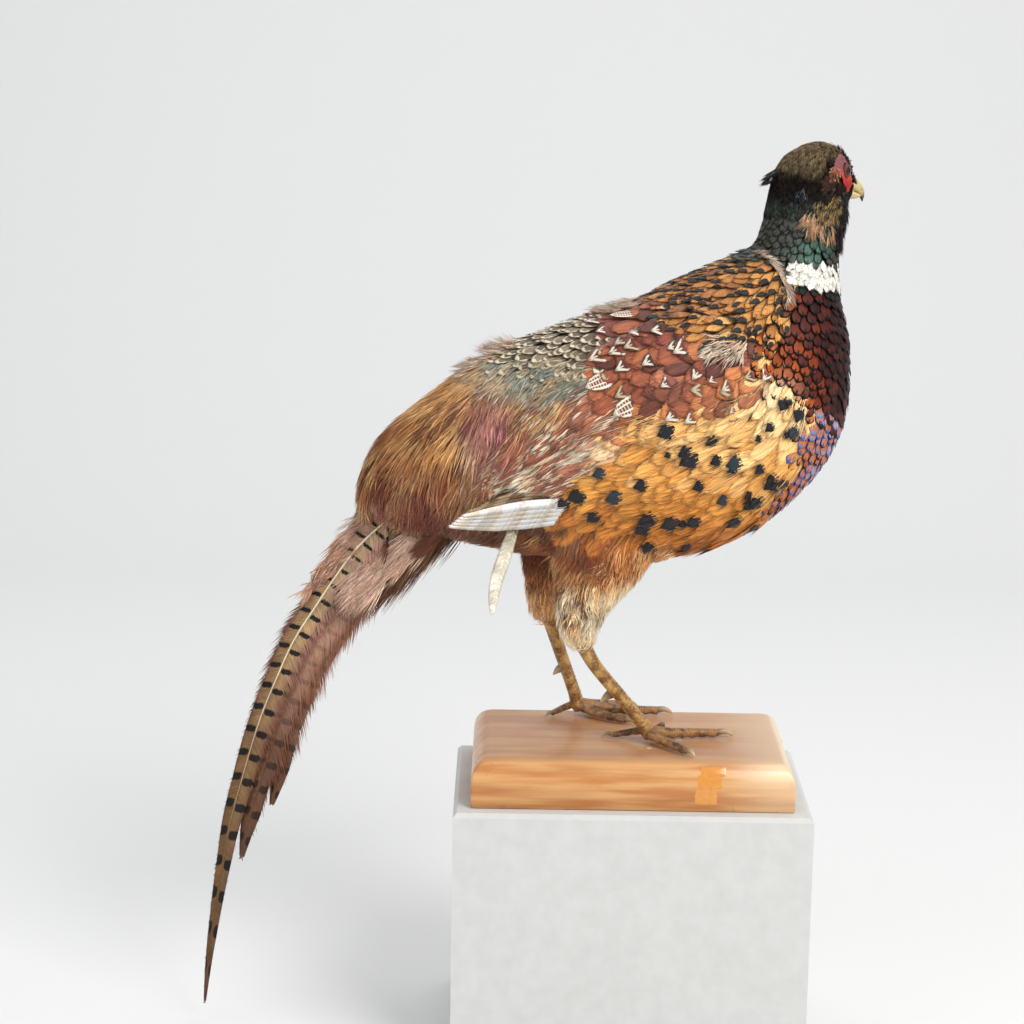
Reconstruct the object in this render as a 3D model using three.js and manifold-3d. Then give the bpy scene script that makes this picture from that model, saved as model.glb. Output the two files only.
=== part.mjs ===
// A mounted cock pheasant (Phasianus colchicus) on its moulded wooden base.
// The base stands on a plain plinth, because the tail hangs lower than the base.
// Millimetres, +Z up, +X the way the bird walks, -Y its right side.
// The origin is the middle of the plinth's underside.
import * as THREE from "three";
import { mergeVertices } from "three/addons/utils/BufferGeometryUtils.js";
import Module from "manifold-3d";

const wasm = await Module();
wasm.setup();

// ---- driving dimensions -------------------------------------------------

const GAP = 0.3; // clearance between pieces that meet
const PLINTH = { length: 248, depth: 164, height: 186, chamfer: 3 };
const BASE = { length: 224, depth: 140, height: 34, side: 16, moulding: 13 };
const BIRD_Y = 12; // the bird's middle plane, a little behind the base's
const HEAD = { x: 123, y: 15, z: 430.5, turn: 41, pitch: 12 }; // degrees: to the left, and bill down
const EYE = { x: 8.5, y: 11.2, z: 6, radius: 5 };
const TAIL_TWIST = 55; // degrees: the tail's upper face leans to the bird's right
const WING_DEPTH = 4.5; // how far the folded wing stands off the trunk

const deg = THREE.MathUtils.degToRad;
const vec = (x, y, z) => new THREE.Vector3(x, y, z);

// ---- materials ----------------------------------------------------------

const material = (color, roughness) =>
  new THREE.MeshStandardMaterial({ color, roughness, metalness: 0 });

const PAINT = {
  neck: material(0x1f3d34, 0.45),
  head: material(0x4a4636, 0.6),
  collar: material(0xece8df, 0.8),
  breast: material(0x6e2c1c, 0.5),
  trunk: material(0xb8702c, 0.65),
  rump: material(0x8f4f28, 0.75),
  wing: material(0x84442c, 0.65),
  quill: material(0xe4d8c0, 0.6),
  tail: material(0x9a7550, 0.65),
  thigh: material(0x9c7448, 0.9),
  leg: material(0xa8763a, 0.4),
  claw: material(0x5a4a38, 0.35),
  bill: material(0xc9b27c, 0.35),
  wattle: material(0xa8202a, 0.6),
  eye: material(0x1a1108, 0.05),
  wood: material(0xc98a50, 0.35),
  plinth: material(0xe9e8e4, 0.6),
};

// ---- solids -------------------------------------------------------------

// A closed skin through rings of equal point count, with a fan on each end.
function loft(rings) {
  const count = rings[0].length;
  const points = rings.flat();
  const middleOf = (ring) =>
    ring.reduce((sum, p) => sum.add(p), vec(0, 0, 0)).divideScalar(count);
  const first = points.push(middleOf(rings[0])) - 1;
  const last = points.push(middleOf(rings.at(-1))) - 1;
  const faces = [];
  for (let k = 0; k < count; k++) {
    const next = (k + 1) % count;
    const end = (rings.length - 1) * count;
    faces.push(first, next, k, last, end + k, end + next);
    for (let r = 0; r < end; r += count) {
      faces.push(r + k, r + next, r + count + k);
      faces.push(r + next, r + count + next, r + count + k);
    }
  }
  const made = new THREE.BufferGeometry().setFromPoints(points).setIndex(faces);
  return facingOut(made);
}

// Turns a closed geometry's faces outwards.
function facingOut(geometry) {
  const position = geometry.getAttribute("position");
  const index = geometry.index.array;
  const corner = [vec(), vec(), vec()];
  let volume = 0;
  for (let i = 0; i < index.length; i += 3) {
    corner.forEach((c, k) => c.fromBufferAttribute(position, index[i + k]));
    volume += corner[0].dot(corner[1].clone().cross(corner[2]));
  }
  if (volume < 0) {
    for (let i = 0; i < index.length; i += 3) {
      [index[i + 1], index[i + 2]] = [index[i + 2], index[i + 1]];
    }
  }
  return geometry;
}

function solidOf(geometry) {
  const bare = geometry.clone();
  bare.deleteAttribute("normal");
  bare.deleteAttribute("uv");
  const merged = mergeVertices(bare, 1e-4);
  return new wasm.Manifold(
    new wasm.Mesh({
      numProp: 3,
      vertProperties: merged.attributes.position.array,
      triVerts: new Uint32Array(merged.index.array),
    }),
  );
}

function geometryOf(solid) {
  const mesh = solid.getMesh();
  const made = new THREE.BufferGeometry();
  made.setAttribute("position", new THREE.BufferAttribute(mesh.vertProperties, 3));
  made.setIndex(new THREE.BufferAttribute(mesh.triVerts, 1));
  return made;
}

// What is left of a geometry without the tools' space; loose crumbs are dropped.
function cutAway(geometry, ...tools) {
  const left = tools.reduce((s, tool) => s.subtract(solidOf(tool)), solidOf(geometry));
  const pieces = left.decompose().sort((a, b) => b.volume() - a.volume());
  return geometryOf(pieces[0]);
}

// A smooth value through a list of numbers or points, at t counted in list places.
function along(list, t) {
  const asPoint = (v) => (typeof v === "number" ? vec(v, 0, 0) : v);
  const curve = new THREE.CatmullRomCurve3(list.map(asPoint), false, "catmullrom", 0.5);
  return curve.getPoint(t / (list.length - 1));
}

const steps = (from, to, count) =>
  Array.from({ length: count + 1 }, (_, i) => from + ((to - from) * i) / Math.max(count, 1));

// The angles of a ring's points.
const circle = (sides) => steps(0, 2 * Math.PI, sides).slice(1);

// A round bar along points with a radius at each; flat squeezes it sideways.
function tube(points, radii, { sides = 10, rings = 8, grow = 0, flat = 1, up = vec(0, 0, 1) } = {}) {
  const curve = new THREE.CatmullRomCurve3(points, false, "catmullrom", 0.5);
  return loft(
    steps(0, 1, rings).map((t) => {
      const at = curve.getPoint(t);
      const ahead = curve.getTangent(t);
      const side = new THREE.Vector3().crossVectors(ahead, up).normalize();
      const top = new THREE.Vector3().crossVectors(side, ahead);
      const radius = along(radii, t * (radii.length - 1)).x + grow;
      return circle(sides).map((a) =>
        at
          .clone()
          .addScaledVector(side, radius * flat * Math.cos(a))
          .addScaledVector(top, radius * Math.sin(a)),
      );
    }),
  );
}

// A plate cut from an outline in the XZ plane, from one side of the bird outwards.
function sidePlate(outline, side) {
  const shape = new THREE.Shape();
  shape.moveTo(...outline[0]);
  shape.splineThru([...outline.slice(1), outline[0]].map(([x, z]) => new THREE.Vector2(x, z)));
  const plate = new THREE.ExtrudeGeometry(shape, {
    depth: 120,
    bevelEnabled: false,
    curveSegments: 3,
  });
  plate.rotateX(Math.PI / 2);
  plate.translate(0, side > 0 ? BIRD_Y + 120 : BIRD_Y, 0);
  return plate;
}

// ---- the body: one loft from the nape to the end of the rump ------------

// Each station joins a point of the back line to a point of the breast or belly line.
const STATIONS = [
  { back: [108, 450], front: [128, 446], half: 8 }, // inside the head
  { back: [97, 444], front: [134, 438], half: 16 },
  { back: [90, 432], front: [138, 424], half: 21 },
  { back: [86.5, 415], front: [140, 404], half: 23 }, // nape and throat
  { back: [84, 402], front: [137, 391], half: 23.5 },
  { back: [79, 386], front: [136, 376], half: 25 }, // white collar
  { back: [73, 379], front: [137, 363], half: 28.5 },
  { back: [60, 374], front: [139, 346], half: 36 }, // shoulders
  { back: [41, 366], front: [146, 321], half: 46 },
  { back: [17, 355], front: [148, 286], half: 57 },
  { back: [-7, 342], front: [144, 253], half: 65 }, // fullest breast
  { back: [-35, 334], front: [126, 220], half: 69 },
  { back: [-62, 324], front: [94, 188], half: 70 },
  { back: [-90, 312], front: [55, 168], half: 69 },
  { back: [-114, 299], front: [12, 160], half: 65 },
  { back: [-138, 281], front: [-34, 161], half: 58 },
  { back: [-160, 263], front: [-77, 165], half: 51 },
  { back: [-178, 246], front: [-110, 171], half: 44 },
  { back: [-190, 226], front: [-130, 175], half: 37 },
  { back: [-196, 200], front: [-140, 177], half: 30 }, // where the tail leaves
];
const NAPE = 3;
const COLLAR_TOP = 5.1;
const SHOULDER = 7;
const BREAST_END = 10;
const RUMP_START = 14.6;
const RUMP_END = STATIONS.length - 1;
const WIDEST = 0.06; // the widest level's height over the section's middle, of its half height

const BODY_SIDES = 18;
const RING_STEP = 0.5; // stations between rings: every part and every cutter shares them
const SEAM = 0.007; // half the gap between two parts of the body, counted in stations

function bodyRing(t, outset = 0) {
  const point = (key) => along(STATIONS.map((s) => vec(s[key][0], BIRD_Y, s[key][1])), t);
  const half = along(STATIONS.map((s) => s.half), t).x + outset;
  const back = point("back");
  const front = point("front");
  const upward = back.clone().sub(front).multiplyScalar(0.5);
  const middle = back.clone().add(front).multiplyScalar(0.5);
  upward.setLength(upward.length() + outset);
  return circle(BODY_SIDES).map((a) => {
    const level = Math.cos(a) + WIDEST * Math.sin(a) ** 2;
    const spread = Math.sign(Math.sin(a)) * Math.abs(Math.sin(a)) ** 0.92;
    return middle.clone().addScaledVector(upward, level).add(vec(0, half * spread, 0));
  });
}

function bodyPart(from, to, outset = 0) {
  const first = Math.floor(from / RING_STEP) + 1;
  const last = Math.ceil(to / RING_STEP) - 1;
  const between = steps(first, last, last - first).map((n) => n * RING_STEP);
  return loft([from, ...between, to].map((t) => bodyRing(t, outset)));
}

// ---- the head, in its own frame: +X to the bill, +Y to its left ---------

const HEAD_STATIONS = [
  { x: -31, top: 5, bottom: -6, half: 4 },
  { x: -27, top: 13, bottom: -14, half: 10.5 },
  { x: -18, top: 19.5, bottom: -21, half: 15.5 },
  { x: -8, top: 22.5, bottom: -24.5, half: 16.5 },
  { x: 2, top: 22.5, bottom: -25, half: 15 },
  { x: 10, top: 19.5, bottom: -24, half: 13 },
  { x: 17, top: 14, bottom: -21.5, half: 11 },
  { x: 23, top: 8.5, bottom: -18, half: 8.8 },
  { x: 26, top: 5.5, bottom: -13, half: 6.8 },
];
const BILL_ROOT = 26.4;
const BILL_LINE = -3.6; // height of the gape
const HEAD_SIDES = 14;

function headLoft(outset = 0) {
  const last = HEAD_STATIONS.length - 1;
  return loft(
    steps(0, last, 10).map((t) => {
      const value = (key) => along(HEAD_STATIONS.map((s) => s[key]), t).x;
      const middle = (value("top") + value("bottom")) / 2;
      const rise = (value("top") - value("bottom")) / 2 + outset;
      const half = value("half") + outset;
      const x = value("x") + outset * (t === last ? 1 : t === 0 ? -1 : 0);
      return circle(HEAD_SIDES).map((a) => {
        const z = middle + rise * Math.cos(a);
        return vec(x, half * Math.sin(a), z);
      });
    }),
  );
}

const toWorldFromHead = new THREE.Matrix4()
  .makeTranslation(HEAD.x, HEAD.y, HEAD.z)
  .multiply(new THREE.Matrix4().makeRotationZ(deg(HEAD.turn)))
  .multiply(new THREE.Matrix4().makeRotationY(deg(HEAD.pitch)));
const inWorld = (geometry) => geometry.applyMatrix4(toWorldFromHead);

const eyeBall = (side, grow = 0) =>
  inWorld(
    new THREE.SphereGeometry(EYE.radius + grow, 10, 7).translate(EYE.x, side * EYE.y, EYE.z),
  );

// The red skin round the eye: a thin shell over the side of the face.
const WATTLE_OUTLINE = [
  [-9, 4],
  [-4, 13],
  [4, 17],
  [12, 13],
  [18, 4],
  [18, -4],
  [12, -9.5],
  [1, -7],
];
function wattle(side) {
  const shape = new THREE.Shape();
  shape.moveTo(...WATTLE_OUTLINE[0]);
  shape.splineThru(
    [...WATTLE_OUTLINE.slice(1), WATTLE_OUTLINE[0]].map(([x, z]) => new THREE.Vector2(x, z)),
  );
  const plate = new THREE.ExtrudeGeometry(shape, {
    depth: 30,
    bevelEnabled: false,
    curveSegments: 3,
  });
  plate.rotateX(Math.PI / 2);
  if (side > 0) plate.translate(0, 33, 0);
  else plate.translate(0, -3, 0);
  const shell = solidOf(headLoft(1.4))
    .intersect(solidOf(plate))
    .subtract(solidOf(headLoft(GAP)));
  return cutAway(inWorld(geometryOf(shell)), eyeBall(side, 2 * GAP), neckTop(GAP));
}

// A mandible: a hooked bar whose root fills the face's front.
function mandible(points, radii, flat) {
  return inWorld(tube(points, radii, { sides: 8, rings: 7, flat }));
}
const billUpper = mandible(
  [
    vec(BILL_ROOT, 0, 0.6),
    vec(BILL_ROOT + 6, 0, 0.4),
    vec(BILL_ROOT + 12, 0, -1.8),
    vec(BILL_ROOT + 16.5, 0, -5.4),
    vec(BILL_ROOT + 18.8, 0, -10),
  ],
  [4.3, 4.1, 3.4, 2.3, 0.6],
  1.05,
);
const billLower = mandible(
  [
    vec(BILL_ROOT, 0, BILL_LINE - 3.6),
    vec(BILL_ROOT + 7, 0, BILL_LINE - 3.7),
    vec(BILL_ROOT + 12.5, 0, BILL_LINE - 3.2),
    vec(BILL_ROOT + 16, 0, BILL_LINE - 2.6),
  ],
  [3.6, 3, 2, 0.6],
  1.2,
);

// A few dark feathers stand out behind the nape.
const napeTuft = cutAway(
  tube(
    [vec(96, BIRD_Y - 2, 437), vec(89, BIRD_Y - 3, 432), vec(82.5, BIRD_Y - 4, 425.5)],
    [4, 3.2, 0.5],
    { sides: 8, rings: 4, flat: 1.3 },
  ),
  bodyPart(0, NAPE, GAP),
);

// The neck inside the head, down to the nape.
const neckTop = (outset = 0) => bodyPart(0, NAPE - SEAM, outset);

// The head with the top of the neck.
function head() {
  const below = bodyPart(NAPE - SEAM, NAPE + 1.6, 14);
  const whole = solidOf(inWorld(headLoft())).add(solidOf(neckTop())).subtract(solidOf(below));
  const sockets = [-1, 1].map((side) => solidOf(eyeBall(side, GAP)));
  return geometryOf(sockets.reduce((s, socket) => s.subtract(socket), whole));
}

// ---- wings --------------------------------------------------------------

const COVERTS = [
  [62, 338],
  [84, 316],
  [84, 292],
  [64, 268],
  [27, 256],
  [-6, 261],
  [-20, 280],
  [-19, 305],
  [-6, 326],
  [26, 342],
];
const SECONDARIES = [
  [-9, 326],
  [-22, 306],
  [-23, 280],
  [-10, 259],
  [-38, 236],
  [-76, 220],
  [-108, 217],
  [-99, 240],
  [-84, 264],
  [-57, 294],
  [-32, 314],
];

function wingShell(outline, side) {
  const span = [SHOULDER - RING_STEP, RUMP_START + 2.4];
  const shell = solidOf(bodyPart(...span, WING_DEPTH)).intersect(solidOf(sidePlate(outline, side)));
  return geometryOf(shell.subtract(solidOf(bodyPart(...span, GAP))));
}

// The secondaries start behind the coverts, a gap away from them.
const secondaries = (side) =>
  cutAway(
    wingShell(SECONDARIES, side),
    sidePlate(COVERTS, side),
    sidePlate(COVERTS, side).translate(-GAP, 0, 0),
  );

// The pale flight feathers below the tertials, a thin bundle that leaves the trunk.
function primaries(side) {
  const blade = [
    { x: -48, y: 60, z: 208, high: 10 },
    { x: -70, y: 58.5, z: 206, high: 12 },
    { x: -95, y: 54, z: 203.5, high: 12 },
    { x: -112, y: 49, z: 201, high: 9 },
    { x: -125, y: 45, z: 194, high: 2 },
  ];
  const rings = steps(0, blade.length - 1, 8).map((t) => {
    const value = (key) => along(blade.map((s) => s[key]), t).x;
    return circle(8).map((a) =>
      vec(
        value("x"),
        BIRD_Y + side * (value("y") + 1.7 * Math.sin(a)),
        value("z") + value("high") * Math.cos(a),
      ),
    );
  });
  return cutAway(loft(rings), bodyPart(RUMP_START - 4, RUMP_END, GAP));
}

// ---- the tail: feathers stacked under the middle one ---------------------

// The middle feather's shaft, from the rump to the tip.
const TAIL_LINE = [
  vec(-171, BIRD_Y, 181),
  vec(-191, BIRD_Y, 163),
  vec(-208, BIRD_Y - 1, 144),
  vec(-223, BIRD_Y - 2, 124),
  vec(-240, BIRD_Y - 4, 97),
  vec(-252, BIRD_Y - 6, 70),
  vec(-262, BIRD_Y - 8, 45),
  vec(-270, BIRD_Y - 9, 20),
  vec(-277, BIRD_Y - 10, -5),
  vec(-285, BIRD_Y - 11, -35),
  vec(-290, BIRD_Y - 12, -64),
  vec(-294, BIRD_Y - 12, -88),
  vec(-298, BIRD_Y - 12, -115),
  vec(-302, BIRD_Y - 12, -145),
  vec(-305, BIRD_Y - 12, -176.5),
];
// offset: to the bird's right at the root and at the tip; reach: of the tail line's length;
// taper: the share of the feather's length over which it narrows.
const TAIL_FEATHERS = [
  { name: "centre_left", offset: [0, 0], half: 12, reach: 1, taper: 0.6 },
  { name: "centre_right", offset: [18, 14], half: 14, reach: 0.7, taper: 0.3 },
  { name: "second_left", offset: [-2, -5], half: 12, reach: 0.58, taper: 0.4 },
  { name: "second_right", offset: [13, 27], half: 12, reach: 0.58, taper: 0.25 },
  { name: "third_left", offset: [-6, -8], half: 12, reach: 0.45, taper: 0.4 },
  { name: "third_right", offset: [18, 22], half: 13, reach: 0.5, taper: 0.35 },
  { name: "outer_left", offset: [-8, -9], half: 12, reach: 0.33, taper: 0.4 },
  { name: "outer_right", offset: [20, 20], half: 13, reach: 0.36, taper: 0.4 },
];
const LAYER = 1.9; // from one feather's middle to the next one's
const FEATHER_THICKNESS = 1.4;

function tailFrame(t) {
  const curve = new THREE.CatmullRomCurve3(TAIL_LINE, false, "catmullrom", 0.5);
  const ahead = curve.getTangentAt(t);
  const upper = new THREE.Vector3().crossVectors(vec(0, 1, 0), ahead).normalize();
  const face = upper.applyAxisAngle(ahead, deg(-TAIL_TWIST));
  const right = new THREE.Vector3().crossVectors(face, ahead).normalize();
  return { at: curve.getPointAt(t), face, right };
}

// A vane's share of its full width along its length, from 0 to 1; the tip isn't quite a point.
const vaneWidth = (t, taper) => Math.min(1, (1.03 - t) / taper) ** 0.75;

function tailFeather({ offset, half, reach, taper }, layer) {
  const rings = steps(0, 1, 10).map((t) => {
    const { at, face, right } = tailFrame(t * reach);
    const sideways = THREE.MathUtils.lerp(offset[0], offset[1], t);
    const middle = at
      .clone()
      .addScaledVector(right, sideways)
      .addScaledVector(face, -layer * LAYER);
    return circle(6).map((a) =>
      middle
        .clone()
        .addScaledVector(right, half * vaneWidth(t, taper) * Math.cos(a))
        .addScaledVector(face, (FEATHER_THICKNESS / 2) * Math.sin(a)),
    );
  });
  return cutAway(loft(rings), bodyPart(RUMP_START, RUMP_END, GAP));
}

// Short coverts wrap the tail's root. Lift is off the middle feather's plane.
const TAIL_COVERTS = {
  above: { reach: 0.19, offset: [-5, -11], half: [15, 3], lift: [6, 1.8], thick: [4.5, 0.6] },
  below: { reach: 0.2, offset: [13, 11], half: [18, 3], lift: [-22, -15.5], thick: [7, 0.7] },
};

function tailCoverts({ reach, offset, half, lift, thick }) {
  const rings = steps(0, 1, 5).map((t) => {
    const { at, face, right } = tailFrame(t * reach);
    const value = ([first, last], bend = 1) => THREE.MathUtils.lerp(first, last, t ** bend);
    const middle = at
      .clone()
      .addScaledVector(right, value(offset))
      .addScaledVector(face, value(lift));
    return circle(10).map((a) =>
      middle
        .clone()
        .addScaledVector(right, value(half, 2) * Math.cos(a))
        .addScaledVector(face, value(thick) * Math.sin(a)),
    );
  });
  return cutAway(loft(rings), bodyPart(RUMP_START, RUMP_END, GAP));
}

// ---- legs and feet ------------------------------------------------------

const LEGS = {
  right: {
    thigh: [
      { at: vec(-14, -12, 200), x: 40, y: 25 },
      { at: vec(-22, -14, 172), x: 37, y: 24 },
      { at: vec(-26, -17, 155), x: 30, y: 20 },
      { at: vec(-33, -19, 138), x: 21, y: 16 },
      { at: vec(-38, -20, 124), x: 14.5, y: 12.5 },
      { at: vec(-39, -20, 112), x: 11.5, y: 10 },
      { at: vec(-37.5, -19.5, 104.5), x: 8.8, y: 7.5 },
    ],
    shank: [
      vec(-37, -19.5, 104),
      vec(-27, -19.5, 90),
      vec(-7, -20, 66),
      vec(6, -20, 50),
      vec(11, -20, 43.5),
    ],
    spur: [vec(-15.5, -18, 68.5), vec(-21, -16, 64), vec(-25.5, -14, 57)],
    toes: {
      middle: [vec(11, -20, 43), vec(27, -15, 40), vec(45, -9, 38.5), vec(62, -6, 37.9)],
      outer: [vec(11, -20, 43), vec(19, -30, 39.8), vec(29, -41, 38.4), vec(37, -50, 37.6)],
      inner: [vec(11, -20, 43), vec(17, -9, 39.6), vec(21, 2, 38.2), vec(23, 10, 37.5)],
      hind: [vec(11, -20, 43), vec(0, -14, 40), vec(-8, -12, 38), vec(-14, -11, 36.9)],
    },
  },
  left: {
    thigh: [
      { at: vec(-40, 38, 200), x: 38, y: 22 },
      { at: vec(-46, 40, 170), x: 33, y: 22 },
      { at: vec(-51, 41, 152), x: 27, y: 18 },
      { at: vec(-57, 42, 137), x: 18, y: 14.5 },
      { at: vec(-61, 43, 124), x: 12.5, y: 11 },
      { at: vec(-61.5, 43, 114), x: 9.8, y: 9 },
      { at: vec(-60, 43.5, 108), x: 8.2, y: 7.2 },
    ],
    shank: [
      vec(-59.5, 43.5, 107.5),
      vec(-52, 44, 88),
      vec(-45, 45, 68),
      vec(-39, 46, 51),
      vec(-37, 47, 43.5),
    ],
    spur: [vec(-49, 43.5, 70), vec(-54, 42.5, 67.5), vec(-57, 41.5, 60.5)],
    toes: {
      middle: [vec(-37, 47, 43), vec(-18, 47, 40), vec(2, 47.5, 38.6), vec(22, 49, 37.9)],
      outer: [vec(-37, 47, 43), vec(-25, 57, 39.8), vec(-12, 62, 38.4), vec(0, 64, 37.6)],
      inner: [vec(-37, 47, 43), vec(-26, 38, 39.6), vec(-13, 30, 38.2), vec(-2, 24, 37.5)],
      hind: [vec(-37, 47, 43), vec(-45, 47, 40), vec(-51, 44, 38), vec(-55, 41, 36.9)],
    },
  },
};
const TOE_RADII = { middle: 3.7, outer: 3.4, inner: 3.3, hind: 2.5 };
const CLAW_LENGTH = { middle: 11, outer: 8.5, inner: 9, hind: 6 };
const SHANK_RADII = [7.2, 6, 5.7, 5.9, 7];

function thigh({ thigh: stations }) {
  const last = stations.length - 1;
  const rings = steps(0, last, 8).map((t) => {
    const at = along(stations.map((s) => s.at), t);
    const value = (key) => along(stations.map((s) => s[key]), t).x;
    return circle(11).map((a) =>
      at.clone().add(vec(value("x") * Math.cos(a), value("y") * Math.sin(a), 0)),
    );
  });
  return cutAway(loft(rings), bodyPart(BREAST_END - 2, RUMP_END, GAP));
}

const shank = ({ shank: points }, grow = 0) =>
  tube(points, SHANK_RADII, { sides: 9, rings: 7, grow, flat: 0.82, up: vec(0, 1, 0) });

function spur(leg) {
  const horn = tube(leg.spur, [3.4, 2.6, 0.5], { sides: 8, rings: 4 });
  return cutAway(horn, shank(leg, GAP));
}

function toe(leg, name, grow = 0) {
  const radius = TOE_RADII[name];
  return tube(leg.toes[name], [radius * 1.15, radius, radius * 0.85, radius * 0.7], {
    sides: 7,
    rings: 5,
    grow,
  });
}

// A claw leaves the toe's end in line with it, and curves down to the wood.
function claw(leg, name) {
  const points = leg.toes[name];
  const end = points.at(-1);
  const ahead = end.clone().sub(points.at(-2)).setZ(0).normalize();
  const length = CLAW_LENGTH[name];
  const reach = (share, z) => end.clone().addScaledVector(ahead, GAP + share * length).setZ(z);
  return tube(
    [reach(0, end.z), reach(0.4, end.z + 0.6), reach(0.75, end.z - 0.8), reach(1, BASE.height + 0.9)],
    [TOE_RADII[name] * 0.62, TOE_RADII[name] * 0.55, TOE_RADII[name] * 0.38, 0.4],
    { sides: 6, rings: 4 },
  );
}

// Toes leave the knuckle one after another, each cut back from those before it.
function feet(leg, side, add) {
  const names = Object.keys(TOE_RADII);
  names.forEach((name, i) => {
    const before = names.slice(0, i).map((other) => toe(leg, other, GAP));
    add(`toe_${side}_${name}`, cutAway(toe(leg, name), shank(leg, GAP), ...before), PAINT.leg);
    add(`claw_${side}_${name}`, cutAway(claw(leg, name), toe(leg, name, GAP)), PAINT.claw);
  });
}

// ---- base and plinth ----------------------------------------------------

const rectangle = (length, depth, z) =>
  [
    [1, 1],
    [-1, 1],
    [-1, -1],
    [1, -1],
  ].map(([x, y]) => vec((x * length) / 2, (y * depth) / 2, z));

// Straight sides, then a quarter-round moulding up to a smaller top.
function base() {
  const { length, depth, height, side, moulding } = BASE;
  const rings = [rectangle(length, depth, 0)];
  steps(0, Math.PI / 2, 6).forEach((a) => {
    const inset = moulding * (1 - Math.cos(a));
    const z = side + (height - side) * Math.sin(a);
    rings.push(rectangle(length - 2 * inset, depth - 2 * inset, z));
  });
  return loft(rings);
}

// Its own height below the base's underside, with chamfered upper edges.
function plinth() {
  const { length, depth, height, chamfer } = PLINTH;
  return loft([
    rectangle(length, depth, -height),
    rectangle(length, depth, -chamfer - GAP),
    rectangle(length - 2 * chamfer, depth - 2 * chamfer, -GAP),
  ]);
}

// ---- assembly -----------------------------------------------------------

const bird = new THREE.Group();
bird.position.z = PLINTH.height;

function add(name, geometry, paint) {
  const mesh = new THREE.Mesh(geometry, paint);
  mesh.name = name;
  bird.add(mesh);
}

add("stand_plinth", plinth(), PAINT.plinth);
add("base", base(), PAINT.wood);

add("head", head(), PAINT.head);
add("nape_tuft", napeTuft, PAINT.neck);
add("bill_upper", billUpper, PAINT.bill);
add("bill_lower", cutAway(billLower, billUpper), PAINT.bill);
add("neck", bodyPart(NAPE + SEAM, COLLAR_TOP - SEAM), PAINT.neck);
add("neck_collar", bodyPart(COLLAR_TOP + SEAM, SHOULDER - SEAM), PAINT.collar);
add("breast", bodyPart(SHOULDER + SEAM, BREAST_END - SEAM), PAINT.breast);
add("trunk", bodyPart(BREAST_END + SEAM, RUMP_START - SEAM), PAINT.trunk);
add("rump", bodyPart(RUMP_START + SEAM, RUMP_END), PAINT.rump);

for (const [side, sign] of [
  ["right", -1],
  ["left", 1],
]) {
  const leg = LEGS[side];
  add(`eye_${side}`, eyeBall(sign), PAINT.eye);
  add(`wattle_${side}`, wattle(sign), PAINT.wattle);
  add(`wing_${side}_coverts`, wingShell(COVERTS, sign), PAINT.wing);
  add(`wing_${side}_secondaries`, secondaries(sign), PAINT.wing);
  add(`wing_${side}_primaries`, primaries(sign), PAINT.quill);
  add(`thigh_${side}`, thigh(leg), PAINT.thigh);
  add(`shank_${side}`, cutAway(shank(leg), thigh(leg)), PAINT.leg);
  add(`spur_${side}`, spur(leg), PAINT.claw);
  feet(leg, side, add);
}

// One flight feather has slipped and hangs below the right wing.
const LOOSE_LINE = [
  vec(-84, BIRD_Y - 43, 190),
  vec(-90, BIRD_Y - 44, 170),
  vec(-96, BIRD_Y - 45, 150),
  vec(-99, BIRD_Y - 45, 128),
];
const looseBlade = tube(LOOSE_LINE, [4.6, 7, 6, 1], { sides: 8, rings: 8, up: vec(0, 1, 0) });
const looseFeather = cutAway(looseBlade, bodyPart(RUMP_START - 4, RUMP_END, GAP));
add("loose_feather", looseFeather, PAINT.quill);

TAIL_FEATHERS.forEach((feather, layer) =>
  add(`tail_${feather.name}`, tailFeather(feather, layer), PAINT.tail),
);

for (const [place, shape] of Object.entries(TAIL_COVERTS)) {
  add(`tail_coverts_${place}`, tailCoverts(shape), PAINT.rump);
}

export default bird;
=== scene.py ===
import math

import bmesh
import bpy
import numpy as np
from mathutils import Matrix, Vector, noise
from mathutils.bvhtree import BVHTree
from mathutils.kdtree import KDTree


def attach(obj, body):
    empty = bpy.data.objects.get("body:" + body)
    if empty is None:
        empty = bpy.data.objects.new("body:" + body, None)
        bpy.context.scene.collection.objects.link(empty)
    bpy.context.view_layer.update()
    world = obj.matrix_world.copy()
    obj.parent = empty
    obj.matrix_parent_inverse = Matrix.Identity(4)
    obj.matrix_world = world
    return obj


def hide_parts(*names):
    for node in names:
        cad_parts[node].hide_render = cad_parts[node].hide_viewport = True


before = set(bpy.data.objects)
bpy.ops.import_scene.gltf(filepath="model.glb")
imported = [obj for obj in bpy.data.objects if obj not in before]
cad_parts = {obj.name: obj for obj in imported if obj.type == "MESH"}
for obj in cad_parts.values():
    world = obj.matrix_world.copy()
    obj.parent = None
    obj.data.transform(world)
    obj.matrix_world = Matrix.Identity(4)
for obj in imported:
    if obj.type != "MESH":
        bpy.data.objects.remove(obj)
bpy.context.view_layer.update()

rng = np.random.default_rng(11)

MM = 0.001
PLINTH_HEIGHT = 186.0
BIRD_Y = 12.0
HEAD_AT = np.array([123.0, 15.0, 430.5])
HEAD_TURN, HEAD_PITCH = 41.0, 12.0
EYE = {"x": 8.5, "y": 11.2, "z": 6.0, "radius": 5.0}
PATCH = 0.003  # how wide each feather is on the baking map
MOST_TRIANGLES = 190000

# ---- small tools -----------------------------------------------------------


def unit(v):
    return v / np.maximum(np.linalg.norm(v, axis=-1, keepdims=True), 1e-9)


def smooth(value, low, high):
    t = np.clip((value - low) / (high - low), 0, 1)
    return t * t * (3 - 2 * t)


def hue(code):
    """The linear colour of a #rrggbb code."""
    c = np.array([int(code[i : i + 2], 16) for i in (1, 3, 5)]) / 255
    return np.where(c <= 0.04045, c / 12.92, ((c + 0.055) / 1.055) ** 2.4)


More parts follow.
